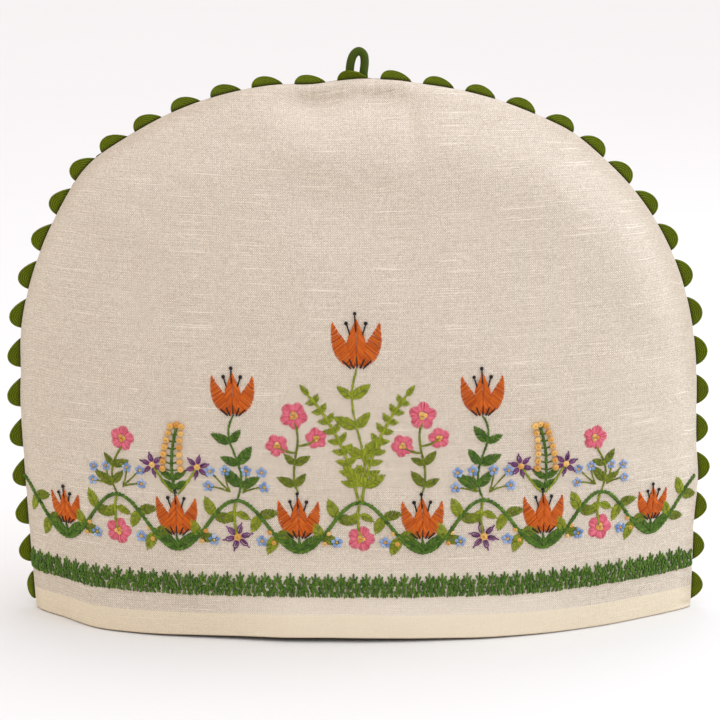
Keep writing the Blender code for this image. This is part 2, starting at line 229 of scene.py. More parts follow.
# Cloth
CLOTH = 0.0008
HEM_CLOTH = 0.0017  # the turned-up hem is two layers
HEM_STEP = 0.0012
HEM_STAND = 0.00022  # the hem stands this much proud of the cloth above it
HEM_GROOVE = 0.00012  # the fold's inner edge draws the cloth in along a fine line
EDGE_ROUND = 0.0008
SEAM_SHUT = 0.00012  # between scallops the two cloths all but meet
BRAID_TOUCH = 0.0001  # and beside them they lie this much closer than in the solids
COVER_ENDS = (-0.0006, 0.0016)  # from a scallop's half chord: where the cloths begin to meet
COVER_VALLEY = (-0.0006, 0.0002)  # rise of a valley at which the braid keeps them apart
LOOP_ROOM_POWER = 6
# Powers of the share of the way to the seam: the higher, the nearer to the seam it happens
RIPPLE_HOLD = 6
FINE_HOLD = 12
HEM_HOLD = 40
RIM_HOLD = 60
# Rows and columns of a cloth, as shares of its height and width
PANEL_CORNER = 0.29  # share of the seam's length at which its side turns into its top
PANEL_SHAPE = (0.36, 0.28)
FIRST_STEPS = (0.0007, 0.0012, 0.0009)  # at the sides, at the hem and at the top
STEP_GROWTH = 0.13
FRONT_COARSE = 0.0017  # widest steps
BACK_COARSE = 0.0026
ROW_BEND = 1.6
PUCKER = 0.00025
PUCKER_PITCH = 0.0068
PUCKER_PLACE = 0.004  # in from the seam
RIDGE_SPREAD = 0.080  # in shares of the way to the seam
RIDGE_INNER_SPREAD = 0.125

CREASES = (
    # from x, from z, to x, to z, half width, push outwards: fine creases
    (0.0240, 0.2800, 0.0275, 0.2580, 0.0045, -0.0022),
    (-0.036, 0.2790, 0.024, 0.2820, 0.0022, -0.0006),
    (0.148, 0.1880, 0.172, 0.1950, 0.0026, 0.0006),
    (0.142, 0.1610, 0.176, 0.1640, 0.0030, -0.0007),
    (0.150, 0.1380, 0.177, 0.1350, 0.0028, 0.0006),
    (0.152, 0.1080, 0.178, 0.1020, 0.0030, 0.0005),
    (-0.158, 0.1180, -0.176, 0.1080, 0.0034, -0.0006),
    (-0.156, 0.0850, -0.176, 0.0700, 0.0034, 0.0005),
    (-0.150, 0.0480, -0.172, 0.0300, 0.0036, 0.0006),
    (-0.130, 0.2330, -0.098, 0.2180, 0.0050, -0.0006),
    (0.092, 0.2480, 0.120, 0.2160, 0.0050, 0.0006),
)

WAVES = (
    # waves per metre in x, in z, phase, height: the slack of the cloth
    (9.0, 4.0, 0.4, 0.00035),
    (-6.0, 11.0, 1.9, 0.00030),
    (17.0, 7.0, 3.1, 0.00018),
    (-13.0, 19.0, 4.4, 0.00014),
    (29.0, -9.0, 0.9, 0.00008),
    (21.0, 31.0, 2.6, 0.00006),
)

FRONT = {
    "side": -1,
    "left_power": 0.50,
    "right_power": 1.02,
    "left_nip": 0.75,
    "folds": FRONT_FOLDS,
    "ridge": FRONT_RIDGE,
    "creases": CREASES,
    "hem_lift": HEM_LIFT,
    "holds_loop": False,
}
BACK = {
    "side": 1,
    "left_power": 0.70,
    "right_power": 0.60,
    "left_nip": 0.0,
    "folds": BACK_FOLDS,
    "ridge": BACK_RIDGE,
    "creases": (),
    "hem_lift": 0.0,
    "holds_loop": True,
}


def bump(distance, spread):
    """A smooth hump of height 1."""
    return np.exp(-((distance / spread) ** 2))


def smooth(value, low, high):
    """0 below low, 1 above high, and an even turn between."""
    share = np.clip((value - low) / (high - low), 0.0, 1.0)
    return share**2 * (3 - 2 * share)


def table_value(table, position, column=1):
    rows = list(zip(*table))
    return np.interp(position, rows[0], rows[column])


def running(steps, axis=0):
    """How far each point is along its line, from the steps between them."""
    return np.insert(np.cumsum(steps, axis=axis), 0, 0.0, axis=axis)


def gaps(points, axis=0):
    """Distances between neighbours along an axis of a grid of points."""
    return np.linalg.norm(np.diff(points, axis=axis), axis=-1)


# The sewn edge


def lean_x(z):
    return -SIDE_LEAN * (z - LEAN_PIVOT_Z)


def side_half_width(z):
    below = (SHOULDER_Z - z) / SHOULDER_Z
    return HALF_WIDTH - (HALF_WIDTH - BASE_HALF_WIDTH) * below**2


def swelled(x, z):
    """Points of the sewn edge pushed in or out by hand-made unevenness."""
    out_x = x / HALF_WIDTH
    out_z = np.maximum(z - SHOULDER_Z, 0.0) / ARCH_RISE
    push = 0.0
    for centre_x, centre_z, swell, spread in SEAM_SWELLS:
        push = push + swell * bump(np.hypot(x - centre_x, z - centre_z), spread)
    return x + push * out_x, z + push * out_z


def is_near_top(z):
    return z > SHOULDER_Z + ARCH_RISE / 2


def seam_ripple(x, z):
    rise = sum(height * bump(x - centre, spread) for centre, height, spread in SEAM_RIPPLES)
    return np.where(is_near_top(z), rise, 0.0)


def even_line(x, z, count):
    """The same line with its points spaced evenly along it."""
    lengths = running(np.hypot(np.diff(x), np.diff(z)))
    even = np.linspace(0.0, lengths[-1], count)
    return np.interp(even, lengths, x), np.interp(even, lengths, z)


def make_seam():
    """The sewn edge from the left end of the hem over the top to the right end."""
    side_z = np.linspace(0.0, SHOULDER_Z, SIDE_POINTS)[:-1]
    angle = np.linspace(math.pi, 0.0, ARCH_FINE_POINTS)
    across, up = np.cos(angle), np.maximum(np.sin(angle), 0.0)
    arch_x = np.copysign(np.abs(across) ** (2 / ARCH_POWER), across) * HALF_WIDTH
    arch_z = SHOULDER_Z + up ** (2 / ARCH_POWER) * ARCH_RISE
    arch_x, arch_z = even_line(arch_x, arch_z, ARCH_POINTS)
    half = side_half_width(side_z)
    x = np.concatenate([-half, arch_x, half[::-1]])
    z = np.concatenate([side_z, arch_z, side_z[::-1]])
    x, z = swelled(x, z)
    true_x = x + lean_x(z)
    true_z = z + seam_ripple(true_x, z)
    ahead = np.minimum(np.arange(len(x)) + FACING_POINTS, len(x) - 1)
    behind = np.maximum(np.arange(len(x)) - FACING_POINTS, 0)
    along = np.stack([true_x[ahead] - true_x[behind], true_z[ahead] - true_z[behind]])
    along /= np.hypot(*along)
    return {
        "x": x,
        "z": z,
        "true_x": true_x,
        "true_z": true_z,
        "length": running(np.hypot(np.diff(true_x), np.diff(true_z))),
        "out_x": -along[1],
        "out_z": along[0],
        "first_arch": len(side_z),
        "last_arch": len(side_z) + len(arch_x) - 1,
    }


SEAM = make_seam()


def seam_at(length, *columns):
    return [np.interp(length, SEAM["length"], SEAM[column]) for column in columns]


def height_length(z, from_left):
    """Length along the sewn edge where the left or the right side passes a height."""
    if from_left:
        return SEAM["length"][np.argmax(SEAM["true_z"] >= z)]
    return SEAM["length"][len(SEAM["length"]) - 1 - np.argmax(SEAM["true_z"][::-1] >= z)]


def scallop_middles():
    first, last = height_length(FIRST_CREST_Z, True), height_length(LAST_CREST_Z, False)
    share = np.arange(SCALLOPS) / (SCALLOPS - 1)
    return first + (last - first) * share + table_value(DRIFTS, share)


def seam_ray(x, z):
    """For flat points of a panel: share of the way to the seam, and the seam's length there."""
    first, last = SEAM["first_arch"], SEAM["last_arch"]
    arch, left, right = slice(last, first - 1, -1), slice(first + 1), slice(None, last - 1, -1)
    angles = np.arctan2(SEAM["z"][arch] - SHOULDER_Z, SEAM["x"][arch])
    reaches = np.hypot(SEAM["z"][arch] - SHOULDER_Z, SEAM["x"][arch])
    angle = np.arctan2(np.maximum(z - SHOULDER_Z, 0.0), x)
    ring_above = np.hypot(x, z - SHOULDER_Z) / np.interp(angle, angles, reaches)
    length_above = np.interp(angle, angles, SEAM["length"][arch])

    def beside(column):
        sides = [np.interp(z, SEAM["z"][side], SEAM[column][side]) for side in (left, right)]
        return np.where(x < 0, *sides)

    is_above = z >= SHOULDER_Z
    ring = np.clip(np.where(is_above, ring_above, x / beside("x")), 0.0, 1.0)
    return ring, np.where(is_above, length_above, beside("length"))


# The cloth's outer skin


def crease_depth(x, z, creases):
    """Fine creases, each along a line and fading to its ends."""
    depth = 0.0
    for from_x, from_z, to_x, to_z, half_width, push in creases:
        run_x, run_z = to_x - from_x, to_z - from_z
        length = math.hypot(run_x, run_z)
        share = ((x - from_x) * run_x + (z - from_z) * run_z) / length**2
        away = ((x - from_x) * run_z - (z - from_z) * run_x) / length
        depth = depth + push * bump(away, half_width) * bump(share - 0.5, 0.5)
    return depth


def slack_depth(x, z, side):
    """Broad shallow unevenness of the cloth."""
    depth = 0.0
    for per_x, per_z, phase, height in WAVES:
        depth = depth + height * np.sin(math.tau * (per_x * x * side + per_z * z) + phase)
    return depth


def cloth_depth(x, z, ring, shape):
    """Distance of the outer skin from the seam's plane."""
    toward_right = 0.5 + 0.5 * np.tanh(2 * x / HALF_WIDTH)
    at_base = shape["left_power"] + (shape["right_power"] - shape["left_power"]) * toward_right
    power = EDGE_POWER + (at_base - EDGE_POWER) * bump(z, BASE_FADE_Z)
    full = BASE_DEPTH * (1 - DRAW_IN * (z / TOP_Z) ** 2)
    nip = shape["left_nip"] * (1 - toward_right) * bump(z, NIP_FADE_Z) * ring**NIP_POWER
    depth = full * np.maximum(1 - ring**PROFILE_POWER, 0.0) ** power * (1 - nip)
    fine = crease_depth(x, z, shape["creases"]) + slack_depth(x, z, shape["side"])
    depth = depth + fine * (1 - ring**FINE_HOLD)
    for centre_x, centre_z, spread_x, spread_z, push, hold in shape["folds"]:
        fold = push * bump(x - centre_x, spread_x) * bump(z - centre_z, spread_z)
        depth = depth + fold * (1 - ring**hold)
    return depth


def covered(length):
    """1 where the braid comes out of the seam, 0 where the cloths meet between its scallops."""
    middles = scallop_middles()
    nearest = np.abs(np.asarray(length)[..., None] - middles).min(axis=-1)
    scallop_end, cloths_meet = (SCALLOP_HALF_CHORD + reach for reach in COVER_ENDS)
    scallop = 1 - smooth(nearest, scallop_end, cloths_meet)
    share = (length - middles[0]) / (middles[-1] - middles[0])
    valley = smooth(table_value(SCALLOP_SHAPES, share, 5), *COVER_VALLEY)
    return np.maximum(scallop, valley)


def in_hem(z):
    """1 at heights in the hem, 0 above it."""
    return 1 - smooth(z, HEM_DEPTH - HEM_STEP / 2, HEM_DEPTH + HEM_STEP / 2)


def skin(x, z, shape):
    """Where the outer skin lies, for flat points of a panel."""
    ring, length = seam_ray(x, z)
    true_x = x + lean_x(z)
    depth = cloth_depth(true_x, z, ring, shape)
    share = length / SEAM["length"][-1]
    crest = 1 - table_value(shape["ridge"], share, 1)
    spread = np.where(ring < crest, RIDGE_INNER_SPREAD, RIDGE_SPREAD)
    depth = depth + table_value(shape["ridge"], share, 2) * bump(ring - crest, spread)
    lift = shape["hem_lift"] * bump(true_x - HEM_LIFT_X, HEM_LIFT_SPREAD)
    lift = lift * np.maximum(1 - z / HEM_LIFT_FADE_Z, 0.0)
    seam_x, seam_z = seam_at(length, "true_x", "z")
    rise = seam_ripple(seam_x, seam_z) * ring**RIPPLE_HOLD
    rim = SEAM_SHUT + (RIM_Y - BRAID_TOUCH - SEAM_SHUT) * covered(length)
    depth = depth + RIM_Y + (rim - RIM_Y) * ring**RIM_HOLD
    if shape["holds_loop"]:
        room = np.exp(-(((seam_x - LOOP_X) / SEAM_SPREAD_X) ** LOOP_ROOM_POWER))
        room = (LOOP_RIM_Y - RIM_Y) * room
        depth = depth + np.where(is_near_top(seam_z), room, 0.0) * ring**FINE_HOLD
    pucker = PUCKER * np.sin(math.tau * length / PUCKER_PITCH)
    pucker = pucker * bump((1 - ring) * HALF_WIDTH - PUCKER_PLACE, PUCKER_PLACE)
    depth = depth + pucker * (ring < 1.0)
    fades_at_seam = 1 - ring**HEM_HOLD
    depth = depth + HEM_STAND * in_hem(z) * fades_at_seam
    depth = depth - HEM_GROOVE * bump(z - HEM_DEPTH - HEM_STEP, HEM_STEP / 2) * fades_at_seam
    return np.stack([true_x, shape["side"] * depth, z + lift + rise], axis=-1)


# Meshes


def steps_between(fine_start, fine_end, coarse):
    """Places from 0 to 1, closest together at the ends."""

    def half(fine):
        places = [0.0]
        while places[-1] < 0.5:
            places.append(places[-1] + min(coarse, fine + STEP_GROWTH * places[-1]))
        return np.array(places) * (0.5 / places[-1])

    start, end = half(fine_start), half(fine_end)
    return np.concatenate([start, 1.0 - end[::-1][1:]])


def panel_grid(coarse):
    """Flat points of a panel in rows that bend from the hem to the seam's arch."""
    total = SEAM["length"][-1]
    corner = total * PANEL_CORNER
    aside, low, high = FIRST_STEPS
    across = steps_between(aside, aside, coarse / PANEL_SHAPE[0])
    up = steps_between(low, high, coarse / PANEL_SHAPE[1])
    left_x, left_z = seam_at(up * corner, "x", "z")
    right_x, right_z = seam_at(total - up * corner, "x", "z")
    top_x, top_z = seam_at(corner + across * (total - 2 * corner), "x", "z")
    u, v = across[None, :], up[:, None]
    rise = v**ROW_BEND
    base_x = left_x[0] + (right_x[0] - left_x[0]) * across
    x = (1 - rise) * base_x[None, :] + rise * top_x[None, :]
    x = x + (1 - u) * left_x[:, None] + u * right_x[:, None]
    x = x - (1 - rise) * base_x[None, :] - rise * ((1 - u) * top_x[0] + u * top_x[-1])
    z = rise * top_z[None, :] + (1 - u) * left_z[:, None] + u * right_z[:, None]
    z = z - rise * ((1 - u) * top_z[0] + u * top_z[-1])
    return x, z


def grid_faces(rows, columns, start=0, is_flipped=False):
    """Corner numbers of the faces of a grid whose points are numbered row by row."""
    first = start + (np.arange(rows - 1)[:, None] * columns + np.arange(columns - 1)).ravel()
    corners = np.stack([first, first + 1, first + 1 + columns, first + columns], axis=1)
    return corners[:, ::-1] if is_flipped else corners


def strip_faces(one, other):
    """Faces between two lines of points."""
    return np.stack([one[:-1], one[1:], other[1:], other[:-1]], axis=1)


def mesh_object(name, points, faces, uvs, marks=None, weld=0.0):
    """A smooth piece from points and faces, with flat coordinates in metres for its material.

    Marks, where given, are one number a point, and become the point attribute "Mark".
    """
    mesh = bpy.data.meshes.new(name)
    counts = np.array([len(face) for face in faces])
    mesh.vertices.add(len(points))
    mesh.vertices.foreach_set("co", np.asarray(points, dtype=np.float32).ravel())
    corners = np.concatenate([np.asarray(face, dtype=np.int32) for face in faces])
    mesh.loops.add(len(corners))
    mesh.loops.foreach_set("vertex_index", corners)
    mesh.polygons.add(len(counts))
    starts = np.concatenate([[0], np.cumsum(counts)[:-1]]).astype(np.int32)
    mesh.polygons.foreach_set("loop_start", starts)
    mesh.polygons.foreach_set("loop_total", counts.astype(np.int32))
    layer = mesh.uv_layers.new(name="Flat")
    layer.data.foreach_set("uv", np.asarray(uvs, dtype=np.float32)[corners].ravel())
    if marks is not None:
        attribute = mesh.attributes.new("Mark", "FLOAT", "POINT")
        attribute.data.foreach_set("value", np.asarray(marks, dtype=np.float32))
    mesh.update(calc_edges=True)
    mesh.validate()
    if weld:
        welded = bmesh.new()
        welded.from_mesh(mesh)
        bmesh.ops.remove_doubles(welded, verts=welded.verts, dist=weld)
        bmesh.ops.recalc_face_normals(welded, faces=welded.faces)
        welded.to_mesh(mesh)
        welded.free()
    mesh.shade_smooth()
    piece = bpy.data.objects.new(name, mesh)
    bpy.context.scene.collection.objects.link(piece)
    return piece


def unit(vectors):
    return vectors / np.maximum(np.linalg.norm(vectors, axis=-1, keepdims=True), 1e-12)


# Darkening of the cloth beside the seam: partly the turned-in edge and the braid showing through,
# partly painted shade
SEAM_SHADE = (
    # share of the seam from the left end, the painted shade there, how far it reaches into the
    # cloth
    (0.00, 0.12, 0.006), (0.28, 0.14, 0.006), (0.32, 0.24, 0.007), (0.41, 0.26, 0.008),
    (0.44, 0.10, 0.006), (0.48, 0.09, 0.007), (0.52, 0.02, 0.005), (0.58, 0.02, 0.005),
    (0.62, 0.16, 0.007), (0.65, 0.26, 0.009), (0.72, 0.28, 0.010), (0.76, 0.32, 0.013),
    (0.83, 0.34, 0.013), (0.86, 0.17, 0.008), (1.00, 0.15, 0.008),
)
INSIDE_SHADE = 0.5  # painted shade of the cloth's inner face
SHARP_ANGLE = math.radians(70.0)


def grid_normals(points, side):
    """Outward directions at the points of a grid."""
    along = np.gradient(points, axis=1)
    up = np.gradient(points, axis=0)
    normals = unit(np.cross(along, up))
    return normals * np.sign((normals[..., 1] * side).sum())


def flat_coordinates(points):
    """Lengths along the threads, across from the middle and up from the hem."""
    across, up = running(gaps(points, 1), 1), running(gaps(points))
    return np.stack([across - across[:, [across.shape[1] // 2]], up], axis=-1)


def seam_shade(x, z):
    """How much darker the cloth is painted beside the seam: partly the turned-in edge and the braid
    showing through, partly painted shade.
    """
    ring, length = seam_ray(x, z)
    shade, reach = (table_value(SEAM_SHADE, length / SEAM["length"][-1], i) for i in (1, 2))
    return shade * (1 - smooth((1 - ring) * HALF_WIDTH / reach, 0.0, 1.0))


def make_cloth(name, shape, coarse):
    """One panel as a thin closed sheet with a doubled hem and a rounded lower edge."""
    x, z = panel_grid(coarse)
    outer = skin(x, z, shape)
    normals = grid_normals(outer, shape["side"])
    thickness = CLOTH + (HEM_CLOTH - CLOTH) * in_hem(z)
    inner = outer - normals * thickness[..., None]
    lower = np.clip(1 - z / EDGE_ROUND, 0.0, 1.0)
    rounding = EDGE_ROUND * (1 - np.sqrt(np.maximum(1 - lower**2, 0.0)))
    flat = normals * np.array([1.0, 1.0, 0.0])
    outer = outer - flat * rounding[..., None]
    inner = inner + flat * rounding[..., None]
    uvs = flat_coordinates(outer).reshape(-1, 2)
    rows, columns = x.shape
    count = rows * columns
    number = np.arange(count).reshape(rows, columns)
    border = np.concatenate([number[0, :], number[1:, -1], number[-1, -2::-1], number[-2::-1, 0]])
    faces = [
        *grid_faces(rows, columns, is_flipped=shape["side"] > 0),
        *grid_faces(rows, columns, start=count, is_flipped=shape["side"] < 0),
    ]
    rim = strip_faces(border, border + count)
    faces += [*(rim[:, ::-1] if shape["side"] < 0 else rim)]
    points = np.concatenate([outer.reshape(-1, 3), inner.reshape(-1, 3)])
    # the Mark: painted shade beside the seam, partly the layers behind showing through, and painted
    # shade over the inner face
    shade = np.concatenate([seam_shade(x, z).ravel(), np.full(count, INSIDE_SHADE)])
    piece = mesh_object(name, points, faces, np.concatenate([uvs, uvs]), shade)
    piece.data.set_sharp_from_angle(angle=SHARP_ANGLE)
    return piece


# Rickrack


def scallop(order, turns):
    """A scallop's crest from its middle, its length to each side of it, and its edge round it."""
    share = order / (SCALLOPS - 1)
    rise, shift = (table_value(SCALLOP_SHAPES, share, column) for column in (1, 2))
    lengths, edges = [], []
    for column, hand in ((3, -1), (4, 1)):
        full = table_value(SCALLOP_SHAPES, share, column)
        powers = [tail + (fat - tail) * full for tail, fat in zip(TAIL_POWERS, FULL_POWERS)]
        length = SCALLOP_HALF_CHORD + hand * shift
        along = hand * length * np.abs(np.sin(turns)) ** (2 / powers[0])
        up = rise * np.maximum(np.cos(turns), 0.0) ** (2 / powers[1])
        lengths.append(length)
        edges.append([along, up])
    return -shift, lengths, np.where(turns > 0, edges[1], edges[0])


def braid_place(length, height, order):
    """A point of the braid's middle surface, and the way that its face looks."""
    x, z, out_x, out_z = seam_at(length, "true_x", "true_z", "out_x", "out_z")
    tip = TOP_TIP * np.maximum(out_z, 0.0) ** 2 + np.where(order == 0, END_TIP, 0.0)
    tip = tip - np.where(is_near_top(z), LOOP_TIP * bump(x - LOOP_X, LOOP_TIP_SPREAD), 0.0)
    low = np.minimum(height, TIP_PIVOT_RISE)
    over = np.maximum(height - TIP_PIVOT_RISE, 0.0)
    turn = tip * smooth(height, 0.0, 2 * TIP_PIVOT_RISE)
    outward = low + over * np.cos(tip)
    point = np.stack([x + out_x * outward, over * np.sin(tip), z + out_z * outward], axis=-1)
    face = np.stack([-out_x * np.sin(turn), np.cos(turn), -out_z * np.sin(turn)], axis=-1)
    return point, face


def braid_half(ring):
    """Half of the braid's thickness, ribbed, at a share of the way from its middle to its edge."""
    ribs = 1 - RIB_DEPTH * (0.5 + 0.5 * np.cos(math.tau * ring * RIBS))
    edge = np.clip((ring - EDGE_SHARE) / (1 - EDGE_SHARE), 0.0, 1.0)
    return TRIM_THICKNESS / 2 * ribs * np.sqrt(np.maximum(1 - edge**2, 0.0))


def make_rickrack(name):
    """The braid: ribbed half-rounds outside the seam on one band inside it."""
    middles = scallop_middles()
    rings = np.linspace(0.0, 1.0, RIBS * RIB_STEPS + 1)
    rings = np.sort(np.append(rings, EDGE_RINGS))
    turns = np.linspace(-math.pi / 2, math.pi / 2, TURN_STEPS + 1)
    points, faces, uvs, heights = [], [], [], []

    def add(length, height, half, order, flat):
        point, face = braid_place(length, height, order)
        rows, columns = length.shape
        for side in (-1, 1):
            faces.extend(grid_faces(rows, columns, sum(map(len, points)), is_flipped=side > 0))
            points.append((point + face * (side * half)[..., None]).reshape(-1, 3))
            uvs.append(flat.reshape(-1, 2))
            heights.append(height.ravel())

    spans = []  # of the band's top row: length, height, half thickness and scallop
    for order, middle in enumerate(middles):
        shift, (before, after), (along, rise) = scallop(order, turns)
        crest = middle + shift
        ring = rings[:, None]
        length = crest + ring * along
        weave = WEAVE_PER_TURN * turns + WEAVE_PER_SCALLOP * order
        flat = np.stack([weave + 0 * ring, RIBS * RIB_PITCH * ring + 0 * turns], axis=-1)
        half = braid_half(ring) + 0 * turns
        add(length, ring * rise, half, np.full(length.shape, order), flat)
        spans.append((crest - before * rings[::-1], 0.0, braid_half(rings[::-1]), order))
        spans.append((crest + after * rings[1:], 0.0, braid_half(rings[1:]), order))
        if order + 1 < SCALLOPS:
            start = middle + SCALLOP_HALF_CHORD
            end = middles[order + 1] - SCALLOP_HALF_CHORD
            share = np.arange(1, VALLEY_COLUMNS + 1) / (VALLEY_COLUMNS + 1)
            valley = table_value(SCALLOP_SHAPES, (order + 0.5) / (SCALLOPS - 1), 5)
            valley = valley * np.minimum(1.0, 4 * np.minimum(share, 1 - share))
            spans.append((start + (end - start) * share, valley, 0.0, order))
    spans = [np.stack(np.broadcast_arrays(*span)) for span in spans]
    length, top, half, order = np.concatenate(spans, axis=1)
    down = np.linspace(0.0, 1.0, BAND_ROWS + 1)[:, None]
    nearest = np.abs(length[:, None] - middles).min(axis=1)
    inside = BRAID_INSIDE - BRAID_INSIDE_WAVE * bump(nearest, BRAID_INSIDE_SPREAD)
    height = top + (-inside - top) * down
    body = TRIM_THICKNESS / 2 * (1 - RIB_DEPTH / 2)
    body = np.where((down > 0) & (down < 1), body, 0.0) * np.ones_like(length)
    body[0] = half
    body[1] = np.maximum(half, body[1] * 0.9)
    body[:, 0] = body[:, -1] = 0.0
    length, order = (value + 0 * down for value in (length, order))
    add(length, height, body, order, np.stack([length, height], axis=-1))
    points, uvs, heights = (np.concatenate(parts) for parts in (points, uvs, heights))
    return mesh_object(name, points, faces, uvs, heights, weld=BRAID_WELD)


# Loop


def smooth_route(points, steps):
    """Points of a smooth curve through a route's points."""
    points = [np.array(point) for point in points]
    route = []
    padded = [points[0], *points, points[-1]]
    for before, start, end, after in zip(padded, padded[1:], padded[2:], padded[3:]):
        for step in range(steps):
            t = step / steps
            route.append(
                start
                + (end - before) * (t / 2)
                + (before * 2 - start * 5 + end * 4 - after) * (t**2 / 2)
                + (start * 3 - before - end * 3 + after) * (t**3 / 2)
            )
    return np.array([*route, points[-1]])


def make_loop(name):
    """A round cord bent over, its ends flattened where they pass into the seam."""
    seam_z = TOP_Z + float(seam_ripple(np.array(LOOP_X), np.array(TOP_Z)))
    route = [(LOOP_X + x, y, seam_z + rise) for x, y, rise in LOOP_ROUTE]
    route = smooth_route(route, CORD_STEPS)
    along = unit(np.gradient(route, axis=0))
    across = unit(np.stack([along[:, 2], 0 * along[:, 0], -along[:, 0]], axis=1))
    flat = 1 - np.clip((route[:, 2] - seam_z) / CORD_ROUND_RISE, 0.0, 1.0)
    flat = flat**2 * (3 - 2 * flat)
    wide = CORD_RADIUS + (TAB_HALF_WIDTH - CORD_RADIUS) * flat
    thick = CORD_RADIUS + (TAB_THICKNESS / 2 - CORD_RADIUS) * flat
    turn = math.tau * np.arange(CORD_SIDES + 1) / CORD_SIDES
    back = np.cross(along, across)
    points = (
        route[:, None, :]
        + across[:, None, :] * (wide[:, None] * np.cos(turn))[..., None]
        + back[:, None, :] * (thick[:, None] * np.sin(turn))[..., None]
    )
    rows, columns = points.shape[:2]
    length = running(gaps(route))[:, None]
    uvs = np.stack([length + 0 * turn, CORD_RADIUS * turn + 0 * length], axis=-1)
    faces = [*grid_faces(rows, columns)]
    faces.append(np.arange(columns - 1))
    faces.append(((rows - 1) * columns + np.arange(columns - 1))[::-1])
    return mesh_object(name, points.reshape(-1, 3), faces, uvs.reshape(-1, 2), weld=CORD_WELD)


# Embroidery

THREAD = 0.00082  # width of a stitch
THREAD_FLATNESS = 0.75
STITCH_PITCH = 0.00092
STITCH_RINGS = np.array([0.0, 0.07, 0.28, 0.72, 0.93, 1.0])
STITCH_SWELL = np.array([0.35, 0.85, 1.0, 1.0, 0.85, 0.35])
STITCH_RISE = np.array([-0.9, 0.05, 0.42, 0.42, 0.05, -0.9])  # in widths above the cloth
TUBE_SIDES = 5
KNOT_RINGS = 13
KNOT_TURNS = 1.55
SEED = 11
STITCH_JITTER = 0.00009
SHORTEST_STITCH = 0.0006
THREAD_START = 0.137  # flat length from one thread's start to the next one's: tones differ
KNOT_START = 5.0  # and from the stitches to the knots
KNOT_SIZES = (0.93, 1.07)
SURFACE_STEP = 0.0002  # length over which the cloth's direction is taken
LINE_STEP = 0.001  # and a line's
FLAT_ROW = 0.001
FLAT_ROWS = 240
FLAT_COLUMN = 0.0005
FLAT_HALF_COLUMNS = 400
FLAT_REACH = 0.184  # how far to each side the table is measured
FLAT_POINTS = 1473

DARK_GREEN = "dark_green"
LIME = "lime_green"
OLIVE = "olive_green"
ORANGE = "burnt_orange"
BROWN = "black_brown"
PINK = "rose_pink"
YELLOW = "warm_yellow"
BLUE = "light_blue"
PURPLE = "purple"


def make_flat_table():
    """Flat x on the front panel for each height and each length across from the middle."""
    heights = np.arange(FLAT_ROWS) * FLAT_ROW
    x = np.linspace(-FLAT_REACH, FLAT_REACH, FLAT_POINTS)
    across = running(gaps(skin(*np.meshgrid(x, heights), FRONT), 1), 1)
    across -= across[:, [len(x) // 2]]
    return np.array([np.interp(FLAT_ACROSS, row, x) for row in across])


FLAT_ACROSS = np.arange(-FLAT_HALF_COLUMNS, FLAT_HALF_COLUMNS + 1) * FLAT_COLUMN
FLAT_TABLE = make_flat_table()


def on_front(places):
    """Points of the front cloth at flat places, each written as across + 1j * up."""
    row = np.clip(places.imag / FLAT_ROW, 0.0, FLAT_ROWS - 1.001)
    column = places.real / FLAT_COLUMN + FLAT_HALF_COLUMNS
    column = np.clip(column, 0.0, 2 * FLAT_HALF_COLUMNS - 0.001)
    low_row, low_column = row.astype(int), column.astype(int)
    up, right = row - low_row, column - low_column
    x = 0.0
    for i, j in ((0, 0), (0, 1), (1, 0), (1, 1)):
        share = (up if i else 1 - up, right if j else 1 - right)
        x = x + FLAT_TABLE[low_row + i, low_column + j] * share[0] * share[1]
    return skin(x, places.imag, FRONT)


def cloth_reach(up, hand):
    """Length across from the front's middle to its left (-1) or right (1) seam, at a height."""
    row = FLAT_TABLE[round(up / FLAT_ROW)]
    return float(np.interp(hand * side_half_width(up), row, FLAT_ACROSS))


class Needlework:
    """Stitches and knots by thread, at flat places in metres."""

    def __init__(self):
        self.random = np.random.default_rng(SEED)
        self.stitches = {}
        self.knots = {}

    def stitch(self, thread, start, end, width=THREAD, bow=0.0, layer=0.0):
        jitter = self.random.normal(0.0, STITCH_JITTER, 4)
        start += complex(jitter[0], jitter[1])
        end += complex(jitter[2], jitter[3])
        self.stitches.setdefault(thread, []).append((start, end, width, bow, layer))

    def knot(self, thread, place, size, layer=0.0):
        turn = self.random.uniform(0.0, math.tau)
        size *= self.random.uniform(*KNOT_SIZES)
        self.knots.setdefault(thread, []).append((place, size, turn, layer))


def thread_tubes(paths, heights, halves):
    """Rings of points along threads that lie on the front cloth."""
    here = on_front(paths)
    across = on_front(paths + SURFACE_STEP) - here
    up = on_front(paths + 1j * SURFACE_STEP) - here
    normal = unit(np.cross(across, up))
    centre = here + normal * heights[..., None]
    along = unit(np.gradient(centre, axis=1))
    side = unit(np.cross(along, normal))
    lift = np.cross(side, along)
    turn = math.tau * np.arange(TUBE_SIDES) / TUBE_SIDES - math.pi / 2
    return (
        centre[..., None, :]
        + side[..., None, :] * (halves[..., None] * np.cos(turn))[..., None]
        + lift[..., None, :] * (halves[..., None] * THREAD_FLATNESS * np.sin(turn))[..., None]
    )


def stitch_tubes(stitches):
    start, end, width, bow, layer = (np.array(column) for column in zip(*stitches))
    run = end - start
    paths = start[:, None] + run[:, None] * STITCH_RINGS
    arc = 4 * STITCH_RINGS * (1 - STITCH_RINGS)
    paths = paths + 1j * (run * bow)[:, None] * arc
    heights = width[:, None] * STITCH_RISE + layer[:, None] * (STITCH_RISE > 0)
    return thread_tubes(paths, heights, width[:, None] / 2 * STITCH_SWELL)


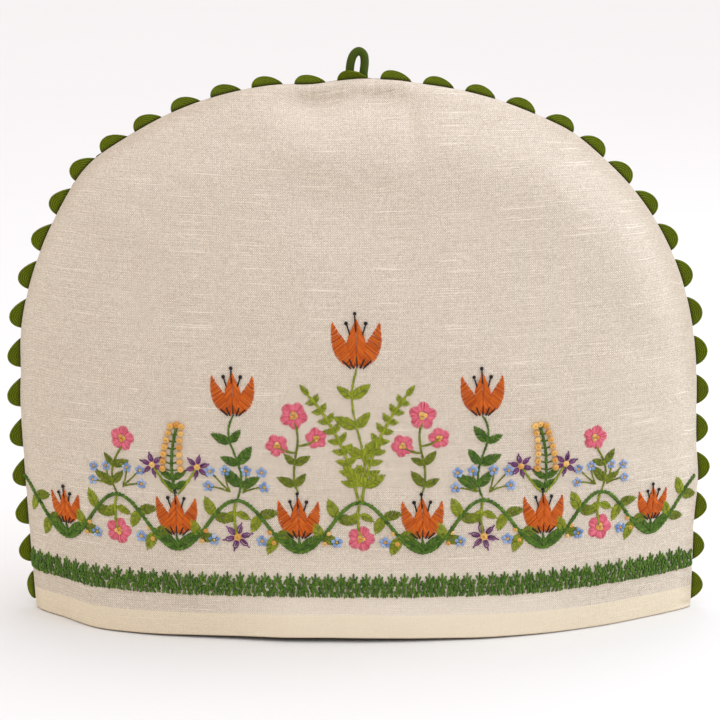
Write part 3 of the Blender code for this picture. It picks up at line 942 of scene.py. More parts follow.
def knot_tubes(knots):
    place, size, turn, layer = (np.array(column) for column in zip(*knots))
    share = np.linspace(0.0, 1.0, KNOT_RINGS)
    angle = turn[:, None] + math.tau * KNOT_TURNS * share
    radius = size[:, None] * (0.27 - 0.20 * smooth(share, 0.55, 1.0))
    paths = place[:, None] + radius * np.exp(1j * angle)
    heights = size[:, None] * (0.08 + 0.30 * share) + layer[:, None]
    swell = np.minimum(1.0, np.minimum(share, 1 - share) * 7 + 0.45)
    return thread_tubes(paths, heights, size[:, None] * 0.25 * swell)


def tube_faces(count, rings):
    """Faces of a number of closed tubes, each a row of rings."""
    corner = np.arange(TUBE_SIDES)
    ring = np.arange(rings - 1)[:, None] * TUBE_SIDES
    after = (corner + 1) % TUBE_SIDES
    corners = [ring + corner, ring + TUBE_SIDES + corner, ring + TUBE_SIDES + after, ring + after]
    quads = np.stack(corners, axis=-1).reshape(-1, 4)
    caps = np.stack([corner, corner[::-1] + (rings - 1) * TUBE_SIDES])
    starts = np.arange(count)[:, None, None] * rings * TUBE_SIDES
    return [*(quads + starts).reshape(-1, 4), *(caps + starts).reshape(-1, TUBE_SIDES)]


def make_threadwork(work, thread):
    """All stitches and knots of one thread as one piece."""
    points, faces, uvs = [], [], []
    total = 0
    kinds = ((work.stitches, stitch_tubes), (work.knots, knot_tubes))
    for kind, (gathered, make_tubes) in enumerate(kinds):
        if thread not in gathered:
            continue
        tubes = make_tubes(gathered[thread])
        count, rings = tubes.shape[:2]
        along = running(gaps(tubes.mean(axis=2), 1), 1)
        along = along + (np.arange(count) * THREAD_START + kind * KNOT_START)[:, None]
        around = THREAD * math.pi * np.arange(TUBE_SIDES) / TUBE_SIDES
        flat = np.stack(np.broadcast_arrays(along[..., None], around), axis=-1)
        faces += [face + total for face in tube_faces(count, rings)]
        points.append(tubes.reshape(-1, 3))
        uvs.append(flat.reshape(-1, 2))
        total += count * rings * TUBE_SIDES
    points, uvs = np.concatenate(points), np.concatenate(uvs)
    return mesh_object("stitches_" + thread, points, faces, uvs)


def curve(*corners, count=60):
    """Points of a smooth line that starts and ends at corners and leans to those between."""
    share = np.linspace(0.0, 1.0, count)
    lines = [corner + 0 * share for corner in corners]
    while len(lines) > 1:
        lines = [one * (1 - share) + other * share for one, other in zip(lines, lines[1:])]
    return lines[0]


def curve_from(foot, *offsets):
    return curve(*(foot + offset for offset in offsets))


def line_length(line):
    return float(np.abs(np.diff(line)).sum())


def line_place(line, place, places):
    """The point of a line at a place, where places says how its points are spaced."""
    return complex(np.interp(place, places, line.real), np.interp(place, places, line.imag))


def along_line(line, length):
    lengths = running(np.abs(np.diff(line)))
    return line_place(line, np.clip(length, 0.0, lengths[-1]), lengths)


def place_and_way(line, share):
    """The place at a share of a line's length, and the way that the line runs there."""
    length = line_length(line) * share
    here = along_line(line, length)
    ahead = along_line(line, length + LINE_STEP) - here
    return here, ahead / abs(ahead)


def turned(angle):
    """The way at an angle, as across + 1j * up."""
    return complex(math.cos(angle), math.sin(angle))


def stem(work, thread, line, width=0.0009, pitch=0.0021):
    """Stem stitch: slanting stitches that overlap by half along a line."""
    for start in np.arange(0.0, line_length(line) - pitch, pitch):
        one, other = along_line(line, start), along_line(line, start + 1.9 * pitch)
        aside = 1j * (other - one) / abs(other - one) * width * 0.42
        work.stitch(thread, one - aside, other + aside, width)


def leaf(work, thread, base, tip, half_width):
    """Fishbone leaf: slanting stitches from both edges to the middle vein."""
    run = tip - base
    length = abs(run)
    aside = 1j * run / length
    work.stitch(thread, tip, base + run * 0.72)
    for inner in np.arange(0.02, 0.80, STITCH_PITCH / length):
        outer = inner + 0.20 - 0.06 * inner
        reach = half_width * math.sin(math.pi * outer**0.85) ** 0.8
        for hand in (1, -1):
            edge = base + run * outer + aside * hand * reach
            work.stitch(thread, edge, base + run * inner - aside * hand * 0.00018)


def satin(work, thread, one, other, lag=0.0, layer=0.0):
    """Close stitches between two lines; lag slants them."""
    count = max(int(max(line_length(one), line_length(other)) / STITCH_PITCH), 2)
    places = np.linspace(0.0, 1.0, len(one))
    for spot in np.linspace(0.03, 0.97, count):
        start = line_place(one, spot, places)
        end = line_place(other, min(spot + lag, 1.0), places)
        if abs(end - start) > SHORTEST_STITCH:
            work.stitch(thread, start, end, layer=layer)


def tulip(work, foot, up):
    """Cup of three pointed petals with stamens; up is its height and the way that it grows."""
    turn = up / 1j

    def at(*spots):
        return [foot + turn * spot for spot in spots]

    def edge(*spots):
        return curve(*at(*spots))

    for hand in (-1, 1):
        tip = 0.47 * hand + 0.93j
        outer = edge(0.02 * hand, 0.50 * hand + 0.02j, 0.60 * hand + 0.50j, tip)
        inner = edge(0.02 * hand + 0.10j, 0.02 * hand + 0.42j, 0.22 * hand + 0.55j, tip)
        satin(work, ORANGE, outer, inner, lag=0.06)
    middle = edge(0.10j, 0.60j, 1.0j)
    for hand in (-1, 1):
        side = edge(0.03j, 0.22 * hand + 0.26j, 0.30 * hand + 0.60j, 0.86j)
        satin(work, ORANGE, side, middle, lag=0.12, layer=0.00020)
    for spot in (-0.20 + 0.92j, 0.20 + 0.92j, -0.02 + 1.12j):
        start, end = at(spot * 0.55 + 0.12j, spot)
        work.stitch(BROWN, start, end, layer=0.0003)
        work.knot(BROWN, end, 0.0020, layer=0.0002)
    for lean in (-0.30, -0.16, 0.0, 0.16, 0.30):
        start, end = at(lean * 0.4 - 0.01j, lean + (0.27 - abs(lean) * 0.35) * 1j)
        work.stitch(BROWN, start, end, layer=0.00045)


BLOSSOM_PETALS = 5
BLOSSOM_KNOTS = 3
DAISY_PETALS = 6
DAISY_STITCHES = (
    # of one petal: from and to, as shares of the flower's size, bow, layer
    (0.12, 0.46, 0.26, 0.0),
    (0.12, 0.46, -0.26, 0.0),
    (0.12, 0.38, 0.0, 0.0),
    (0.43, 0.56, 0.0, 0.0002),
)
ROSETTE_KNOTS = 5


def blossom(work, centre, size, turn=0.0):
    """Round notched flower of close spokes with knots in the middle."""
    count = int(math.pi * size * 0.92 / STITCH_PITCH)
    for step in range(count):
        angle = math.tau * step / count
        reach = size / 2 * (0.70 + 0.30 * abs(math.cos(BLOSSOM_PETALS * angle / 2)) ** 0.7)
        way = turned(angle + turn)
        work.stitch(PINK, centre + way * reach, centre + way * size * 0.13)
    for step in range(BLOSSOM_KNOTS):
        spot = turned(turn + math.tau * step / BLOSSOM_KNOTS) * size * 0.085
        work.knot(YELLOW, centre + spot, size * 0.16, layer=0.0001)


def daisy(work, centre, size, turn=0.0):
    """Lazy daisy: a loop for each petal, held at its tip, round one knot."""
    for step in range(DAISY_PETALS):
        way = turned(turn + math.tau * step / DAISY_PETALS)
        for near, far, bow, layer in DAISY_STITCHES:
            start, end = centre + way * size * near, centre + way * size * far
            work.stitch(PURPLE, start, end, bow=bow, layer=layer)
    work.knot(YELLOW, centre, size * 0.27)


def rosette(work, centre, size):
    """Five light knots round a yellow one."""
    for step in range(ROSETTE_KNOTS):
        spot = turned(math.pi / 2 + math.tau * step / ROSETTE_KNOTS) * size * 0.32
        work.knot(BLUE, centre + spot, size * 0.36)
    work.knot(YELLOW, centre, size * 0.27)


def spray(work, foot, way, size):
    """A small branch that ends in three rosettes."""
    turn = way / abs(way) * size
    for spot, bend in ((0.92, 0.0), (0.62 + 0.38j, 0.12j), (0.62 - 0.38j, -0.12j)):
        line = curve_from(foot, 0, turn * (0.35 + bend), turn * spot)
        stem(work, OLIVE, line, width=0.0007, pitch=0.0018)
        rosette(work, foot + turn * spot, size * 0.36)


def sprays(work, foot, lean, size):
    """A spray to each side of a place."""
    for side in (-1, 1):
        spray(work, foot + 0.003 * side + 0.004j, lean * side + 1.0j, size)


def leafy_stem(work, thread, line, leaves, leaf_length):
    """A stem with leaves at shares of its length, alternately to each side."""
    stem(work, thread, line)
    for order, share in enumerate(leaves):
        here, way = place_and_way(line, share)
        for hand in (1, -1):
            length = leaf_length * (1 - 0.35 * share) * (1.0 if (order + (hand > 0)) % 2 else 0.82)
            tip = here + way * np.exp(1j * hand * math.radians(52)) * length
            leaf(work, thread, here, complex(tip), length * 0.24)


BAND_LOW, BAND_HIGH = 0.0238, 0.0322
BAND_PITCH = 0.00125
BAND_ROWS_UP = (0.0, 0.26, 0.52, 0.78)  # shares of the band's height at which its stitches start
BAND_STITCH = 0.0036
FORK_PITCH = 0.0066
SEAM_MARGIN = 0.0012  # kept free of stitches beside the seam
VINE_HEIGHT = 0.0630
VINE_WAVE = 0.0140
VINE_LENGTH = 0.0640
HOLLOW_LEAF = 0.0125


def stitched_span(up):
    """The first and the last place across the front that stitches reach at a height."""
    return cloth_reach(up, -1) + SEAM_MARGIN, cloth_reach(up, 1) - SEAM_MARGIN


def band(work):
    """A border filled with short slanting stitches, under a row of small forks."""
    shake = work.random.uniform
    start, end = stitched_span(BAND_HIGH)
    for row, share in enumerate(BAND_ROWS_UP):
        foot_up = BAND_LOW + (BAND_HIGH - BAND_LOW) * share
        for place in np.arange(start + BAND_PITCH * 0.25 * row, end, BAND_PITCH):
            foot = place + 1j * (foot_up + shake(-0.0004, 0.0004))
            way = np.exp(1j * math.radians(90 + shake(-34, 34))) * BAND_STITCH * shake(0.8, 1.2)
            tip = min(max((foot + way).real, start), end) + 1j * (foot + way).imag
            work.stitch(DARK_GREEN, foot, complex(tip), width=0.00115, layer=shake(0.0, 0.00045))
    for place in np.arange(start + 0.004, end - 0.003, FORK_PITCH):
        root = place + 1j * (BAND_HIGH - 0.0006)
        for lean, length in ((-0.0021, 0.0040), (0.0, 0.0058), (0.0021, 0.0040)):
            work.stitch(DARK_GREEN, root, root + lean + 1j * length, width=0.00115)


def vine_place(across):
    return across + 1j * (VINE_HEIGHT + VINE_WAVE * np.cos(math.tau * across / VINE_LENGTH))


def vine_foot(waves):
    """The place of the vine that is a number of its waves from the middle."""
    return complex(vine_place(VINE_LENGTH * waves))


def vine_leaves(work, first, last):
    """Leaves on both sides of the vine, half-way between its crests and hollows."""
    half_wave = VINE_LENGTH / 2
    for order in range(-7, 7):
        uphill = 1 if order % 2 else -1
        for share, length in ((0.36, 0.0105), (0.62, 0.0115)):
            place = (order + share) * half_wave
            if not first + 0.008 < place < last - 0.008:
                continue
            here = vine_place(place)
            ahead = vine_place(place + 0.001) - here
            for hand, thread in ((uphill, LIME), (-uphill, OLIVE)):
                way = ahead / abs(ahead) * np.exp(1j * hand * math.radians(62))
                leaf(work, thread, complex(here), complex(here + way * length), length * 0.27)


def hollow_motifs(work, order):
    """A tulip in a hollow of the vine, or a flower that hangs below one of its crests."""
    foot = vine_foot(order / 2)
    if order % 2:
        top = foot + 0.0080j
        stem(work, DARK_GREEN, curve_from(foot, 0, 0.004j, 0.0080j), width=0.0013)
        for hand in (-1, 1):
            tip = foot + HOLLOW_LEAF * hand + 0.0110j
            leaf(work, DARK_GREEN, foot + 0.0010j, tip, 0.0030)
        tulip(work, top, 0.0215j if abs(order) < 5 else 0.0180j)
        return
    centre = foot - 0.0200j
    stem(work, LIME, curve_from(foot, 0, -0.003 - 0.008j, -0.0200j), width=0.0011)
    if order % 4 == 0:
        blossom(work, centre, 0.0150, turn=0.3 * order)
    else:
        daisy(work, centre, 0.0150, turn=0.4 * order)
    for hand in (-1, 1):
        leaf(work, LIME, foot - 0.0065j, foot + 0.0072 * hand - 0.0105j, 0.0021)
        rosette(work, centre + 0.0125 * hand - 0.0020j, 0.0064)
        work.knot(YELLOW, centre + 0.0168 * hand + 0.0030j, 0.0026)
        work.knot(YELLOW, centre + 0.0188 * hand - 0.0028j, 0.0026)


def vine(work):
    """A waving stem over the whole width, with a motif in each of its hollows."""
    first, last = stitched_span(VINE_HEIGHT)
    stem(work, DARK_GREEN, vine_place(np.linspace(first, last, 900)), width=0.0015)
    vine_leaves(work, first, last)
    for order in range(-5, 6):
        hollow_motifs(work, order)


def berry_branch(work, foot, height, bend):
    """A dark stem with yellow knots in pairs and small leaves below them."""
    line = curve_from(foot, 0, bend + 0.5j * height, -0.5 * bend + 1j * height)
    stem(work, DARK_GREEN, line, width=0.0012)
    for share in np.arange(0.34, 1.0, 0.105):
        here, _ = place_and_way(line, share)
        for hand in (-1, 1):
            reach = (0.0058 - 0.0030 * share) * hand + 0.0012j
            work.stitch(DARK_GREEN, here, here + reach)
            work.knot(YELLOW, here + reach, 0.0036, layer=0.0001)
    work.knot(YELLOW, complex(line[-1]) + 0.0010j, 0.0036)
    for share in (0.08, 0.22):
        here, _ = place_and_way(line, share)
        for hand in (-1, 1):
            leaf(work, DARK_GREEN, here, here + 0.0072 * hand + 0.0046j, 0.0019)


def frond(work, foot, reach, height):
    """A lime stem that bows outwards with close pairs of small leaves."""
    line = curve_from(foot, 0, 0.15 * reach + 0.55j * height, reach + 1j * height)
    stem(work, LIME, line, width=0.0012)
    for share in np.arange(0.14, 0.99, 0.098):
        here, way = place_and_way(line, share)
        way = way * (0.0082 - 0.0038 * share)
        for hand in (-1, 1):
            tip = here + complex(way * np.exp(1j * hand * math.radians(58)))
            leaf(work, LIME, here, tip, 0.0017)
    leaf(work, LIME, complex(line[-1]), complex(line[-1]) + (line[-1] - line[-5]) * 1.6, 0.0016)


def pink_branch(work, foot, hand):
    """Three pink flowers, blue sprays and leaves on a branching stem."""
    top = 0.001 * hand + 0.038j
    line = curve_from(foot, 0, 0.006 * hand + 0.014j, -0.005 * hand + 0.026j, top)
    leafy_stem(work, OLIVE, line, (0.10, 0.40), 0.0110)
    for share, side, size in ((0.66, 1, 0.0118), (0.56, -1, 0.0126)):
        here, _ = place_and_way(line, share)
        end = 0.0098 * side + 0.0040j
        bough = curve_from(here, 0, 0.006 * side, end)
        stem(work, OLIVE, bough, width=0.0010, pitch=0.0018)
        blossom(work, here + end, size, turn=0.5 * side)
    blossom(work, foot + top + 0.003j, 0.0152, turn=0.2 * hand)


def sprigs(work):
    """Branches that rise from the vine, tallest in the middle."""
    crest = vine_foot(0)
    line = curve_from(crest, 0, 0.010 + 0.028j, -0.010 + 0.044j, 0.0700j)
    leafy_stem(work, LIME, line, (0.12, 0.34, 0.56, 0.78), 0.0165)
    tulip(work, complex(line[-1]), 0.0250j)
    for hand in (-1, 1):
        frond(work, crest + 0.0010 * hand, 0.0240 * hand, 0.0560)
        pink_branch(work, vine_foot(0.5 * hand) + 0.0325j, hand)
        aside = vine_foot(hand)
        line = curve_from(aside, 0, -0.010 * hand + 0.020j, 0.010 * hand + 0.030j, 0.0450j)
        leafy_stem(work, DARK_GREEN, line, (0.16, 0.42, 0.68), 0.0145)
        tulip(work, complex(line[-1]), 0.0220j)
        sprays(work, aside, 0.95, 0.0165)
        hollow = vine_foot(1.5 * hand) + 0.0300j
        berry_branch(work, hollow, 0.0360, 0.004 * hand)
        for side in (-1, 1):
            line = curve_from(hollow, 0.001 * side, 0.005 * side + 0.004j, 0.0120 * side + 0.0150j)
            stem(work, LIME, line, width=0.0010)
            daisy(work, complex(line[-1]), 0.0125, turn=0.3 * side)
        outer = vine_foot(2.0 * hand)
        line = curve_from(outer, 0, 0.007 * hand + 0.012j, -0.004 * hand + 0.0260j)
        leafy_stem(work, OLIVE, line, (0.22, 0.55), 0.0120)
        blossom(work, complex(line[-1]) + 0.0040j, 0.0140, turn=0.1)
        sprays(work, outer, 1.05, 0.0150)


def make_embroidery():
    """The generic garden border on the front cloth, one piece for each thread."""
    work = Needlework()
    band(work)
    vine(work)
    sprigs(work)
    threads = sorted({*work.stitches, *work.knots})
    return {thread: make_threadwork(work, thread) for thread in threads}


# Materials


class Nodes:
    """Short spelling for the nodes of a new material or world."""

    def __init__(self, owner, output="OutputMaterial"):
        owner.use_nodes = True
        self.owner, self.tree = owner, owner.node_tree
        self.tree.nodes.clear()
        self.output = self.add(output)

    def add(self, kind, settings=None, **inputs):
        node = self.tree.nodes.new("ShaderNode" + kind)
        for key, value in (settings or {}).items():
            setattr(node, key, value)
        for key, value in inputs.items():
            self.put(node, key.replace("_", " "), value)
        return node

    def put(self, node, key, value):
        is_number = key[0] == "i" and key[1:].isdigit()
        socket = node.inputs[int(key[1:]) if is_number else key]
        if isinstance(value, bpy.types.NodeSocket):
            self.tree.links.new(value, socket)
        else:
            socket.default_value = value

    def math(self, operation, *values, clamp=False):
        inputs = {f"i{index}": value for index, value in enumerate(values)}
        return self.add("Math", {"operation": operation, "use_clamp": clamp}, **inputs).outputs[0]

    def mix(self, share, first, second):
        node = self.add("Mix", {"data_type": "RGBA"}, i0=share, i6=first, i7=second)
        return node.outputs[2]

    def noise(self, vector, scale=1.0, detail=2.0):
        return self.add("TexNoise", Vector=vector, Scale=scale, Detail=detail).outputs["Fac"]

    def stretched(self, vector, x, y, z=1.0, shift=(0.0, 0.0, 0.0)):
        return self.add("Mapping", Vector=vector, Scale=(x, y, z), Location=shift).outputs[0]

    def between(self, value, low, high, start=0.0, end=1.0):
        node = self.add("MapRange", {"interpolation_type": "SMOOTHSTEP"}, Value=value)
        for index, limit in enumerate((low, high, start, end), start=1):
            self.put(node, f"i{index}", limit)
        return node.outputs[0]

    def over(self, base, tint, *limits):
        """A colour with a tint laid over it, as strongly as a value between limits says."""
        return self.mix(self.between(*limits), base, tint)

    def flat(self):
        """The flat coordinates: together, along and across."""
        flat = self.add("UVMap", {"uv_map": "Flat"}).outputs[0]
        place = self.add("SeparateXYZ", Vector=flat)
        return flat, place.outputs[0], place.outputs[1]

    def mark(self):
        return self.add("Attribute", {"attribute_name": "Mark"}).outputs["Fac"]

    def slanting(self, along, across, along_turn, across_turn):
        """Fine threads that slant over a surface; the turns are radians a metre."""
        turns = self.math("MULTIPLY", along, along_turn), self.math("MULTIPLY", across, across_turn)
        return self.math("SINE", self.math("ADD", *turns))

    def surface(self, base, roughness, relief=None, **constants):
        """Finish the material; relief is a height with its strength and its distance."""
        shader = self.add("BsdfPrincipled", Base_Color=base, Roughness=roughness, **constants)
        if relief:
            height, strength, distance = relief
            bump_node = self.add("Bump", Strength=strength, Distance=distance, Height=height)
            self.put(shader, "Normal", bump_node.outputs[0])
        self.put(self.output, "Surface", shader.outputs[0])
        return self.owner


def colour(red, green, blue):
    """A material colour from its screen values, 0 to 255."""
    shares = [value / 255 for value in (red, green, blue)]
    linear = [x / 12.92 if x <= 0.04045 else ((x + 0.055) / 1.055) ** 2.4 for x in shares]
    return (*linear, 1.0)


THREAD_COLOURS = {
    # light and dark tone of each embroidery thread
    DARK_GREEN: (colour(102, 136, 44), colour(54, 84, 22)),
    LIME: (colour(172, 180, 50), colour(112, 124, 22)),
    OLIVE: (colour(142, 152, 44), colour(86, 98, 18)),
    ORANGE: (colour(238, 124, 34), colour(176, 66, 8)),
    BROWN: (colour(54, 44, 40), colour(24, 20, 20)),
    PINK: (colour(248, 140, 154), colour(202, 72, 96)),
    YELLOW: (colour(248, 204, 122), colour(214, 150, 66)),
    BLUE: (colour(184, 206, 236), colour(112, 142, 194)),
    PURPLE: (colour(150, 84, 146), colour(84, 36, 82)),
}

WARP_PITCH = 0.00114  # between the threads that run up the cloth
WEFT_PITCH = 0.00128
CROSSING = 0.00040  # size of one crossing of threads
WEFT_BOW = 0.24  # the threads across rise to both sides, more the higher they lie
WEFT_BOW_MIDDLE = 0.016
WEFT_BOW_ROUND = 0.015
LINEN_DARK = colour(167, 148, 127)
LINEN_LIGHT = colour(249, 236, 217)
LINEN_HEM = colour(248, 230, 196)
LINEN_SHADE = colour(146, 120, 86)  # painted shade: of the lower edge, of the inner face, and beside the seam, where it is partly the turned-in edge and the braid showing through
BRAID_DARK, BRAID_LIGHT = colour(95, 106, 8), colour(121, 131, 14)
BRAID_MOTTLE = colour(60, 80, 4)
BRAID_THREADS = colour(130, 146, 32)
# painted shade in the grooves between the ribs
BRAID_GROOVE_SHADE = colour(36, 48, 3)
# painted shade on the braid near the cloth, where the cloth shades it
BRAID_FOOT_SHADE = colour(44, 54, 8)
# painted shadow in the gap where the braid leaves the seam
BRAID_SEAM_SHADOW = colour(52, 44, 16)
CORD_DARK, CORD_LIGHT = colour(47, 62, 4), colour(67, 83, 7)
CORD_THREADS = colour(96, 116, 22)
FLOOR_DARK, FLOOR_LIGHT = colour(229, 226, 221), colour(231, 228, 223)

WEAVE_LIFT = 0.20  # how far each set of threads shows between the crossings
WEAVE_SHARE = 0.28  # of the tone, from dark to light
CROSSING_SHARE = 0.42
THREAD_TONES = (
    # scale across and up, shift, detail, share of the tone: threads, and last broad patches
    (120.0, 2400.0, (3.1, 7.7, 0.0), 0.0, 0.20),
    (2200.0, 70.0, (0.0, 0.0, 0.0), 0.0, 0.10),
    (28.0, 2100.0, (2.0, 9.0, 0.0), 0.0, 0.20),
    (30.0, 60.0, (9.0, 1.0, 0.0), 2.0, 0.02),
)
SLUB_SCALE = (30.0, 2100.0)
SLUB_SHIFT = (11.0, 2.0, 0.0)
SLUB_LIMITS = (0.73, 0.81)
SLUB_SHARE = 0.52
DRIFT_SCALE = 60.0
DRIFT_TURN = 5.0  # radians by which the threads wander
# Painted light on the strip above the hem: limits, and the shares of the light colour between them
PAINTED_LIGHT_MIDDLE = 0.02
PAINTED_LIGHT_UP = (0.014, 0.056, 0.48, 0.0)
PAINTED_LIGHT_ASIDE = (0.05, 0.12, 1.0, 0.0)
HEM_TINT = (HEM_DEPTH - 0.0006, HEM_DEPTH + 0.0006, 0.50, 0.0)
# painted shade along the cloth's lower edge: limits, and the shares of the shade colour between
# them
EDGE_PAINTED_SHADE = (0.0004, 0.0016, 0.60, 0.0)


def linen_material():
    """Plain-woven linen: crossings of uneven threads, slubs, a creamier doubled hem, painted light
    above the hem, and painted shade at the seam, the lower edge and the inner face.
    """
    n = Nodes(bpy.data.materials.new("ivory_linen"))
    _, across, up = n.flat()
    aside = n.math("ADD", across, WEFT_BOW_MIDDLE)
    aside = n.math("SQRT", n.math("MULTIPLY_ADD", aside, aside, WEFT_BOW_ROUND**2))
    pick_place = n.math("MULTIPLY_ADD", n.math("MULTIPLY", aside, up), -WEFT_BOW, up)
    threads = n.add("CombineXYZ", X=across, Y=pick_place).outputs[0]
    drift = n.math("MULTIPLY", n.noise(threads, DRIFT_SCALE, detail=1.0), DRIFT_TURN)
    places = (across, pick_place)
    waves = []
    for place, pitch in zip(places, (WARP_PITCH, WEFT_PITCH)):
        wave = n.math("SINE", n.math("MULTIPLY_ADD", place, math.tau / pitch, drift))
        waves.append(n.math("ADD", wave, WEAVE_LIFT))
    weave = n.math("MULTIPLY", *waves)
    cell = [n.math("FLOOR", n.math("MULTIPLY", place, 1 / CROSSING)) for place in places]
    spot = n.add("CombineXYZ", X=cell[0], Y=cell[1]).outputs[0]
    crossing = n.add("TexWhiteNoise", {"noise_dimensions": "2D"}, Vector=spot).outputs["Value"]
    parts = [(crossing, CROSSING_SHARE)]
    for x, y, shift, detail, share in THREAD_TONES:
        parts.append((n.noise(n.stretched(threads, x, y, shift=shift), detail=detail), share))
    slub = n.noise(n.stretched(threads, *SLUB_SCALE, shift=SLUB_SHIFT), detail=0.0)
    slub = n.between(slub, *SLUB_LIMITS)
    tone = n.math("MULTIPLY_ADD", weave, WEAVE_SHARE, 0.5)
    for part, share in parts:
        tone = n.math("MULTIPLY_ADD", n.math("SUBTRACT", part, 0.5), share, tone)
    tone = n.math("MULTIPLY_ADD", slub, SLUB_SHARE, tone, clamp=True)
    base = n.mix(tone, LINEN_DARK, LINEN_LIGHT)
    # painted light: the strip above the hem is mixed towards the linen's light colour
    aside = n.math("ABSOLUTE", n.math("ADD", across, -PAINTED_LIGHT_MIDDLE))
    strip = n.math("MULTIPLY", n.between(up, *PAINTED_LIGHT_UP), n.between(aside, *PAINTED_LIGHT_ASIDE))
    base = n.mix(strip, base, LINEN_LIGHT)
    base = n.over(base, LINEN_HEM, up, *HEM_TINT)
    # painted shade beside the seam, partly the turned-in edge and the braid showing through, and
    # painted shade on the inner face
    base = n.mix(n.mark(), base, LINEN_SHADE)
    # painted shade along the cloth's lower edge
    base = n.over(base, LINEN_SHADE, up, *EDGE_PAINTED_SHADE)
    rough = n.between(parts[1][0], 0.2, 0.8, 0.84, 0.94)
    height = n.math("MULTIPLY_ADD", weave, 0.3, slub)
    sheen = {"Sheen_Weight": 0.04, "Sheen_Roughness": 0.5}
    return n.surface(base, rough, (height, 0.20, 0.00020), Specular_IOR_Level=0.15, **sheen)


def braid_material():
    """Woven braid: yarns that follow the ribs, each crossed by fine slanting threads, with painted
    shade in the rib grooves and painted shade and shadow where it leaves the seam.
    """
    n = Nodes(bpy.data.materials.new("green_rickrack"))
    flat, along, across = n.flat()
    above_seam = n.mark()
    threads = n.slanting(along, across, 5200.0, 3600.0)
    groove = n.math("COSINE", n.math("MULTIPLY", across, math.tau / RIB_PITCH))
    mottle = n.noise(n.stretched(flat, 900.0, 2600.0))
    base = n.mix(n.noise(flat, 120.0), BRAID_DARK, BRAID_LIGHT)
    base = n.over(base, BRAID_MOTTLE, mottle, 0.35, 0.75, 0.0, 0.6)
    base = n.over(base, BRAID_THREADS, threads, 0.2, 1.0, 0.0, 0.25)
    # painted shade in the grooves between the ribs
    base = n.over(base, BRAID_GROOVE_SHADE, groove, 0.1, 0.95, 0.0, 0.75)
    # painted shade on the braid near the cloth
    base = n.over(base, BRAID_FOOT_SHADE, above_seam, 0.0006, 0.0026, 0.35, 0.0)
    # painted shadow where the braid leaves the seam
    base = n.over(base, BRAID_SEAM_SHADOW, above_seam, 0.0003, 0.0009, 0.70, 0.0)
    rough = n.between(mottle, 0.2, 0.8, 0.72, 0.86)
    height = n.math("ADD", n.math("MULTIPLY", threads, 0.5), mottle)
    return n.surface(base, rough, (height, 0.4, 0.00018), Specular_IOR_Level=0.12)


def cord_material():
    """A smooth covered cord with a fine slanting weave."""
    n = Nodes(bpy.data.materials.new("green_cord"))
    flat, along, around = n.flat()
    threads = n.slanting(along, around, 4200.0, 5264.0)
    broad = n.noise(flat, 260.0)
    base = n.mix(broad, CORD_DARK, CORD_LIGHT)
    base = n.mix(n.math("MULTIPLY", n.between(threads, 0.0, 1.0), 0.3), base, CORD_THREADS)
    rough = n.between(broad, 0.2, 0.8, 0.62, 0.78)
    return n.surface(base, rough, (threads, 0.25, 0.00012), Specular_IOR_Level=0.18)


def thread_material(name, light, dark):
    """Twisted cotton thread, a little different in tone from stitch to stitch."""
    n = Nodes(bpy.data.materials.new(name))
    flat, along, around = n.flat()
    tone = n.noise(n.stretched(flat, 9.0, 0.0, 0.0), detail=0.0)
    ply = n.slanting(along, around, 6200.0, 5200.0)
    base = n.mix(n.between(tone, 0.25, 0.75), dark, light)
    base = n.over(base, dark, ply, -1.0, 0.2, 0.45, 0.0)
    rough = n.between(tone, 0.2, 0.8, 0.58, 0.72)
    sheen = {"Sheen_Weight": 0.03, "Sheen_Roughness": 0.4}
    return n.surface(base, rough, (ply, 0.35, 0.00010), Specular_IOR_Level=0.22, **sheen)


def floor_material():
    n = Nodes(bpy.data.materials.new("studio_paper"))
    grain = n.noise(n.add("TexCoord").outputs["Object"], 3.0, detail=3.0)
    return n.surface(n.mix(grain, FLOOR_DARK, FLOOR_LIGHT), 0.9, Specular_IOR_Level=0.1)


# Studio

WORLD_LOW = (0.13, 0.10, 0.07)  # the room's light from the horizon: warm
WORLD_RISE = (1.53, 1.55, 1.71)  # and what is added to it by straight overhead
BACKDROP = (0.93, 0.92, 0.90, 1.0)  # what the camera sees beyond the floor
STUDIO_AIM = (0.0, 0.0, 0.12)
KEY_PLACE = (1.60, -0.43, 1.07)
KEY_SIZE = 1.4
KEY_WATTS = 12.2
KEY_TINT = (0.668, 0.823, 1.0)
FILL_PLACE = (-1.26, -0.34, 0.87)
FILL_STRENGTH = 0.27
FILL_TINT = (0.95, 1.0, 0.68)
FILL_ANGLE = math.radians(60.0)
RIM_PLACE = (1.45, 0.30, 0.60)
RIM_SIZE = 0.8
RIM_WATTS = 6.0
RIM_TINT = (0.835, 0.957, 1.0)
FLOOR_REACH = 30.0


def make_camera():
    data = bpy.data.cameras.new("camera")
    data.sensor_width = CAMERA_SENSOR_MM
    data.lens = CAMERA_LENS_MM
    data.clip_start, data.clip_end = 0.01, 50.0
    data.dof.use_dof = False
    camera = bpy.data.objects.new("camera", data)
    back = Vector((0.0, -math.cos(CAMERA_PITCH), math.sin(CAMERA_PITCH)))
    camera.location = Vector(CAMERA_TARGET) + back * CAMERA_DISTANCE
    camera.rotation_mode = "QUATERNION"
    camera.rotation_quaternion = (-back).to_track_quat("-Z", "Y")
    bpy.context.scene.collection.objects.link(camera)
    bpy.context.scene.camera = camera


def add_light(name, kind, place, power, tint, **shape):
    data = bpy.data.lights.new(name, kind)
    data.energy = power
    data.color = tint
    for key, value in shape.items():
        setattr(data, key, value)
    lamp = bpy.data.objects.new(name, data)
    lamp.location = place
    lamp.rotation_mode = "QUATERNION"
    lamp.rotation_quaternion = (Vector(STUDIO_AIM) - Vector(place)).to_track_quat("-Z", "Y")
    bpy.context.scene.collection.objects.link(lamp)


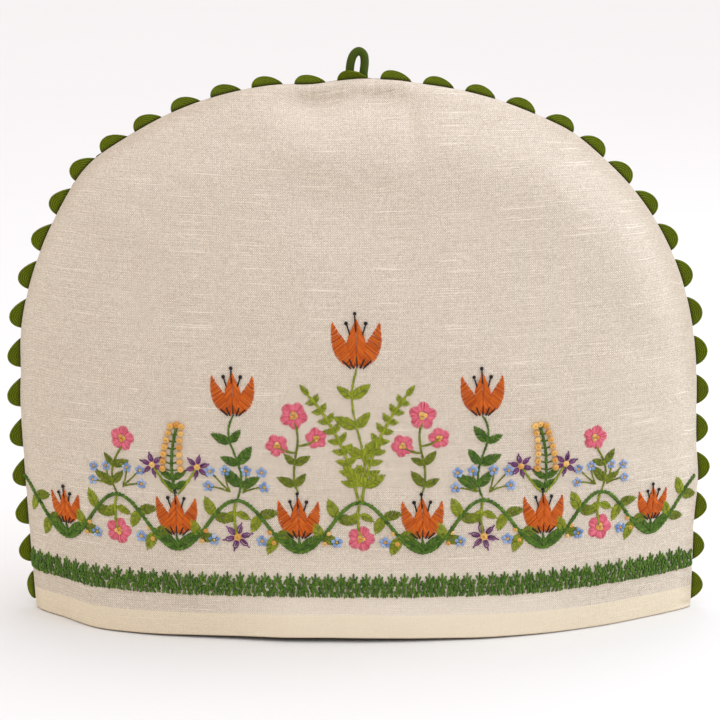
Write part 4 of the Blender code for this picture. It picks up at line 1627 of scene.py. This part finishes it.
def make_world():
    """The room's light, and a plain backdrop for the camera."""
    n = Nodes(bpy.data.worlds.new("studio"), "OutputWorld")
    way = n.add("TexCoord").outputs["Generated"]
    up = n.add("SeparateXYZ", Vector=way).outputs[2]
    settings = {"operation": "MULTIPLY_ADD"}
    light = n.add("VectorMath", settings, i0=up, i1=WORLD_RISE, i2=WORLD_LOW).outputs[0]
    lit = n.add("Background", Color=light).outputs[0]
    seen = n.add("Background", Color=BACKDROP).outputs[0]
    is_seen = n.add("LightPath").outputs["Is Camera Ray"]
    either = n.add("MixShader", i0=is_seen, i1=lit, i2=seen).outputs[0]
    n.put(n.output, "Surface", either)
    return n.owner


def make_studio():
    scene = bpy.context.scene
    scene.world = make_world()
    add_light("key", "AREA", KEY_PLACE, KEY_WATTS, KEY_TINT, shape="DISK", size=KEY_SIZE)
    add_light("fill", "SUN", FILL_PLACE, FILL_STRENGTH, FILL_TINT, angle=FILL_ANGLE)
    add_light("rim", "AREA", RIM_PLACE, RIM_WATTS, RIM_TINT, shape="DISK", size=RIM_SIZE)
    corners = ((-1, -1), (1, -1), (1, 1), (-1, 1))
    floor = bpy.data.meshes.new("floor")
    floor.from_pydata([(x * FLOOR_REACH, y * FLOOR_REACH, 0.0) for x, y in corners], [], [range(4)])
    floor.materials.append(floor_material())
    floor_object = bpy.data.objects.new("floor", floor)
    scene.collection.objects.link(floor_object)
    scene.view_settings.view_transform = "Standard"


def finish_piece(piece, material, slot, *nodes):
    piece.data.materials.clear()
    piece.data.materials.append(material)
    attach(piece, "root")
    if nodes:
        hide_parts(*nodes)


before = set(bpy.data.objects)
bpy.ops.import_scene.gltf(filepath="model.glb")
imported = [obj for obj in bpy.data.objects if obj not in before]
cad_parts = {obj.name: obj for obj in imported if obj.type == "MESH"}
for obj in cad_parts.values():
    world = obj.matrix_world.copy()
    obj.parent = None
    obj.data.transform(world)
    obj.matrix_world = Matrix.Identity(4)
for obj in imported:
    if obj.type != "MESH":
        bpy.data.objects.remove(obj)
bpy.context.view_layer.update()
make_camera()
make_studio()
linen = linen_material()
front_cloth = make_cloth("front_cloth", FRONT, FRONT_COARSE)
finish_piece(front_cloth, linen, "linen", "front_panel")
back_cloth = make_cloth("back_cloth", BACK, BACK_COARSE)
finish_piece(back_cloth, linen, "linen", "back_panel")
rickrack = make_rickrack("rickrack")
finish_piece(rickrack, braid_material(), "rickrack", "rickrack_trim")
loop_cord = make_loop("loop_cord")
finish_piece(loop_cord, cord_material(), "cord", "hanging_loop")
for thread, threadwork in make_embroidery().items():
    light, dark = THREAD_COLOURS[thread]
    finish_piece(threadwork, thread_material("thread_" + thread, light, dark), None)
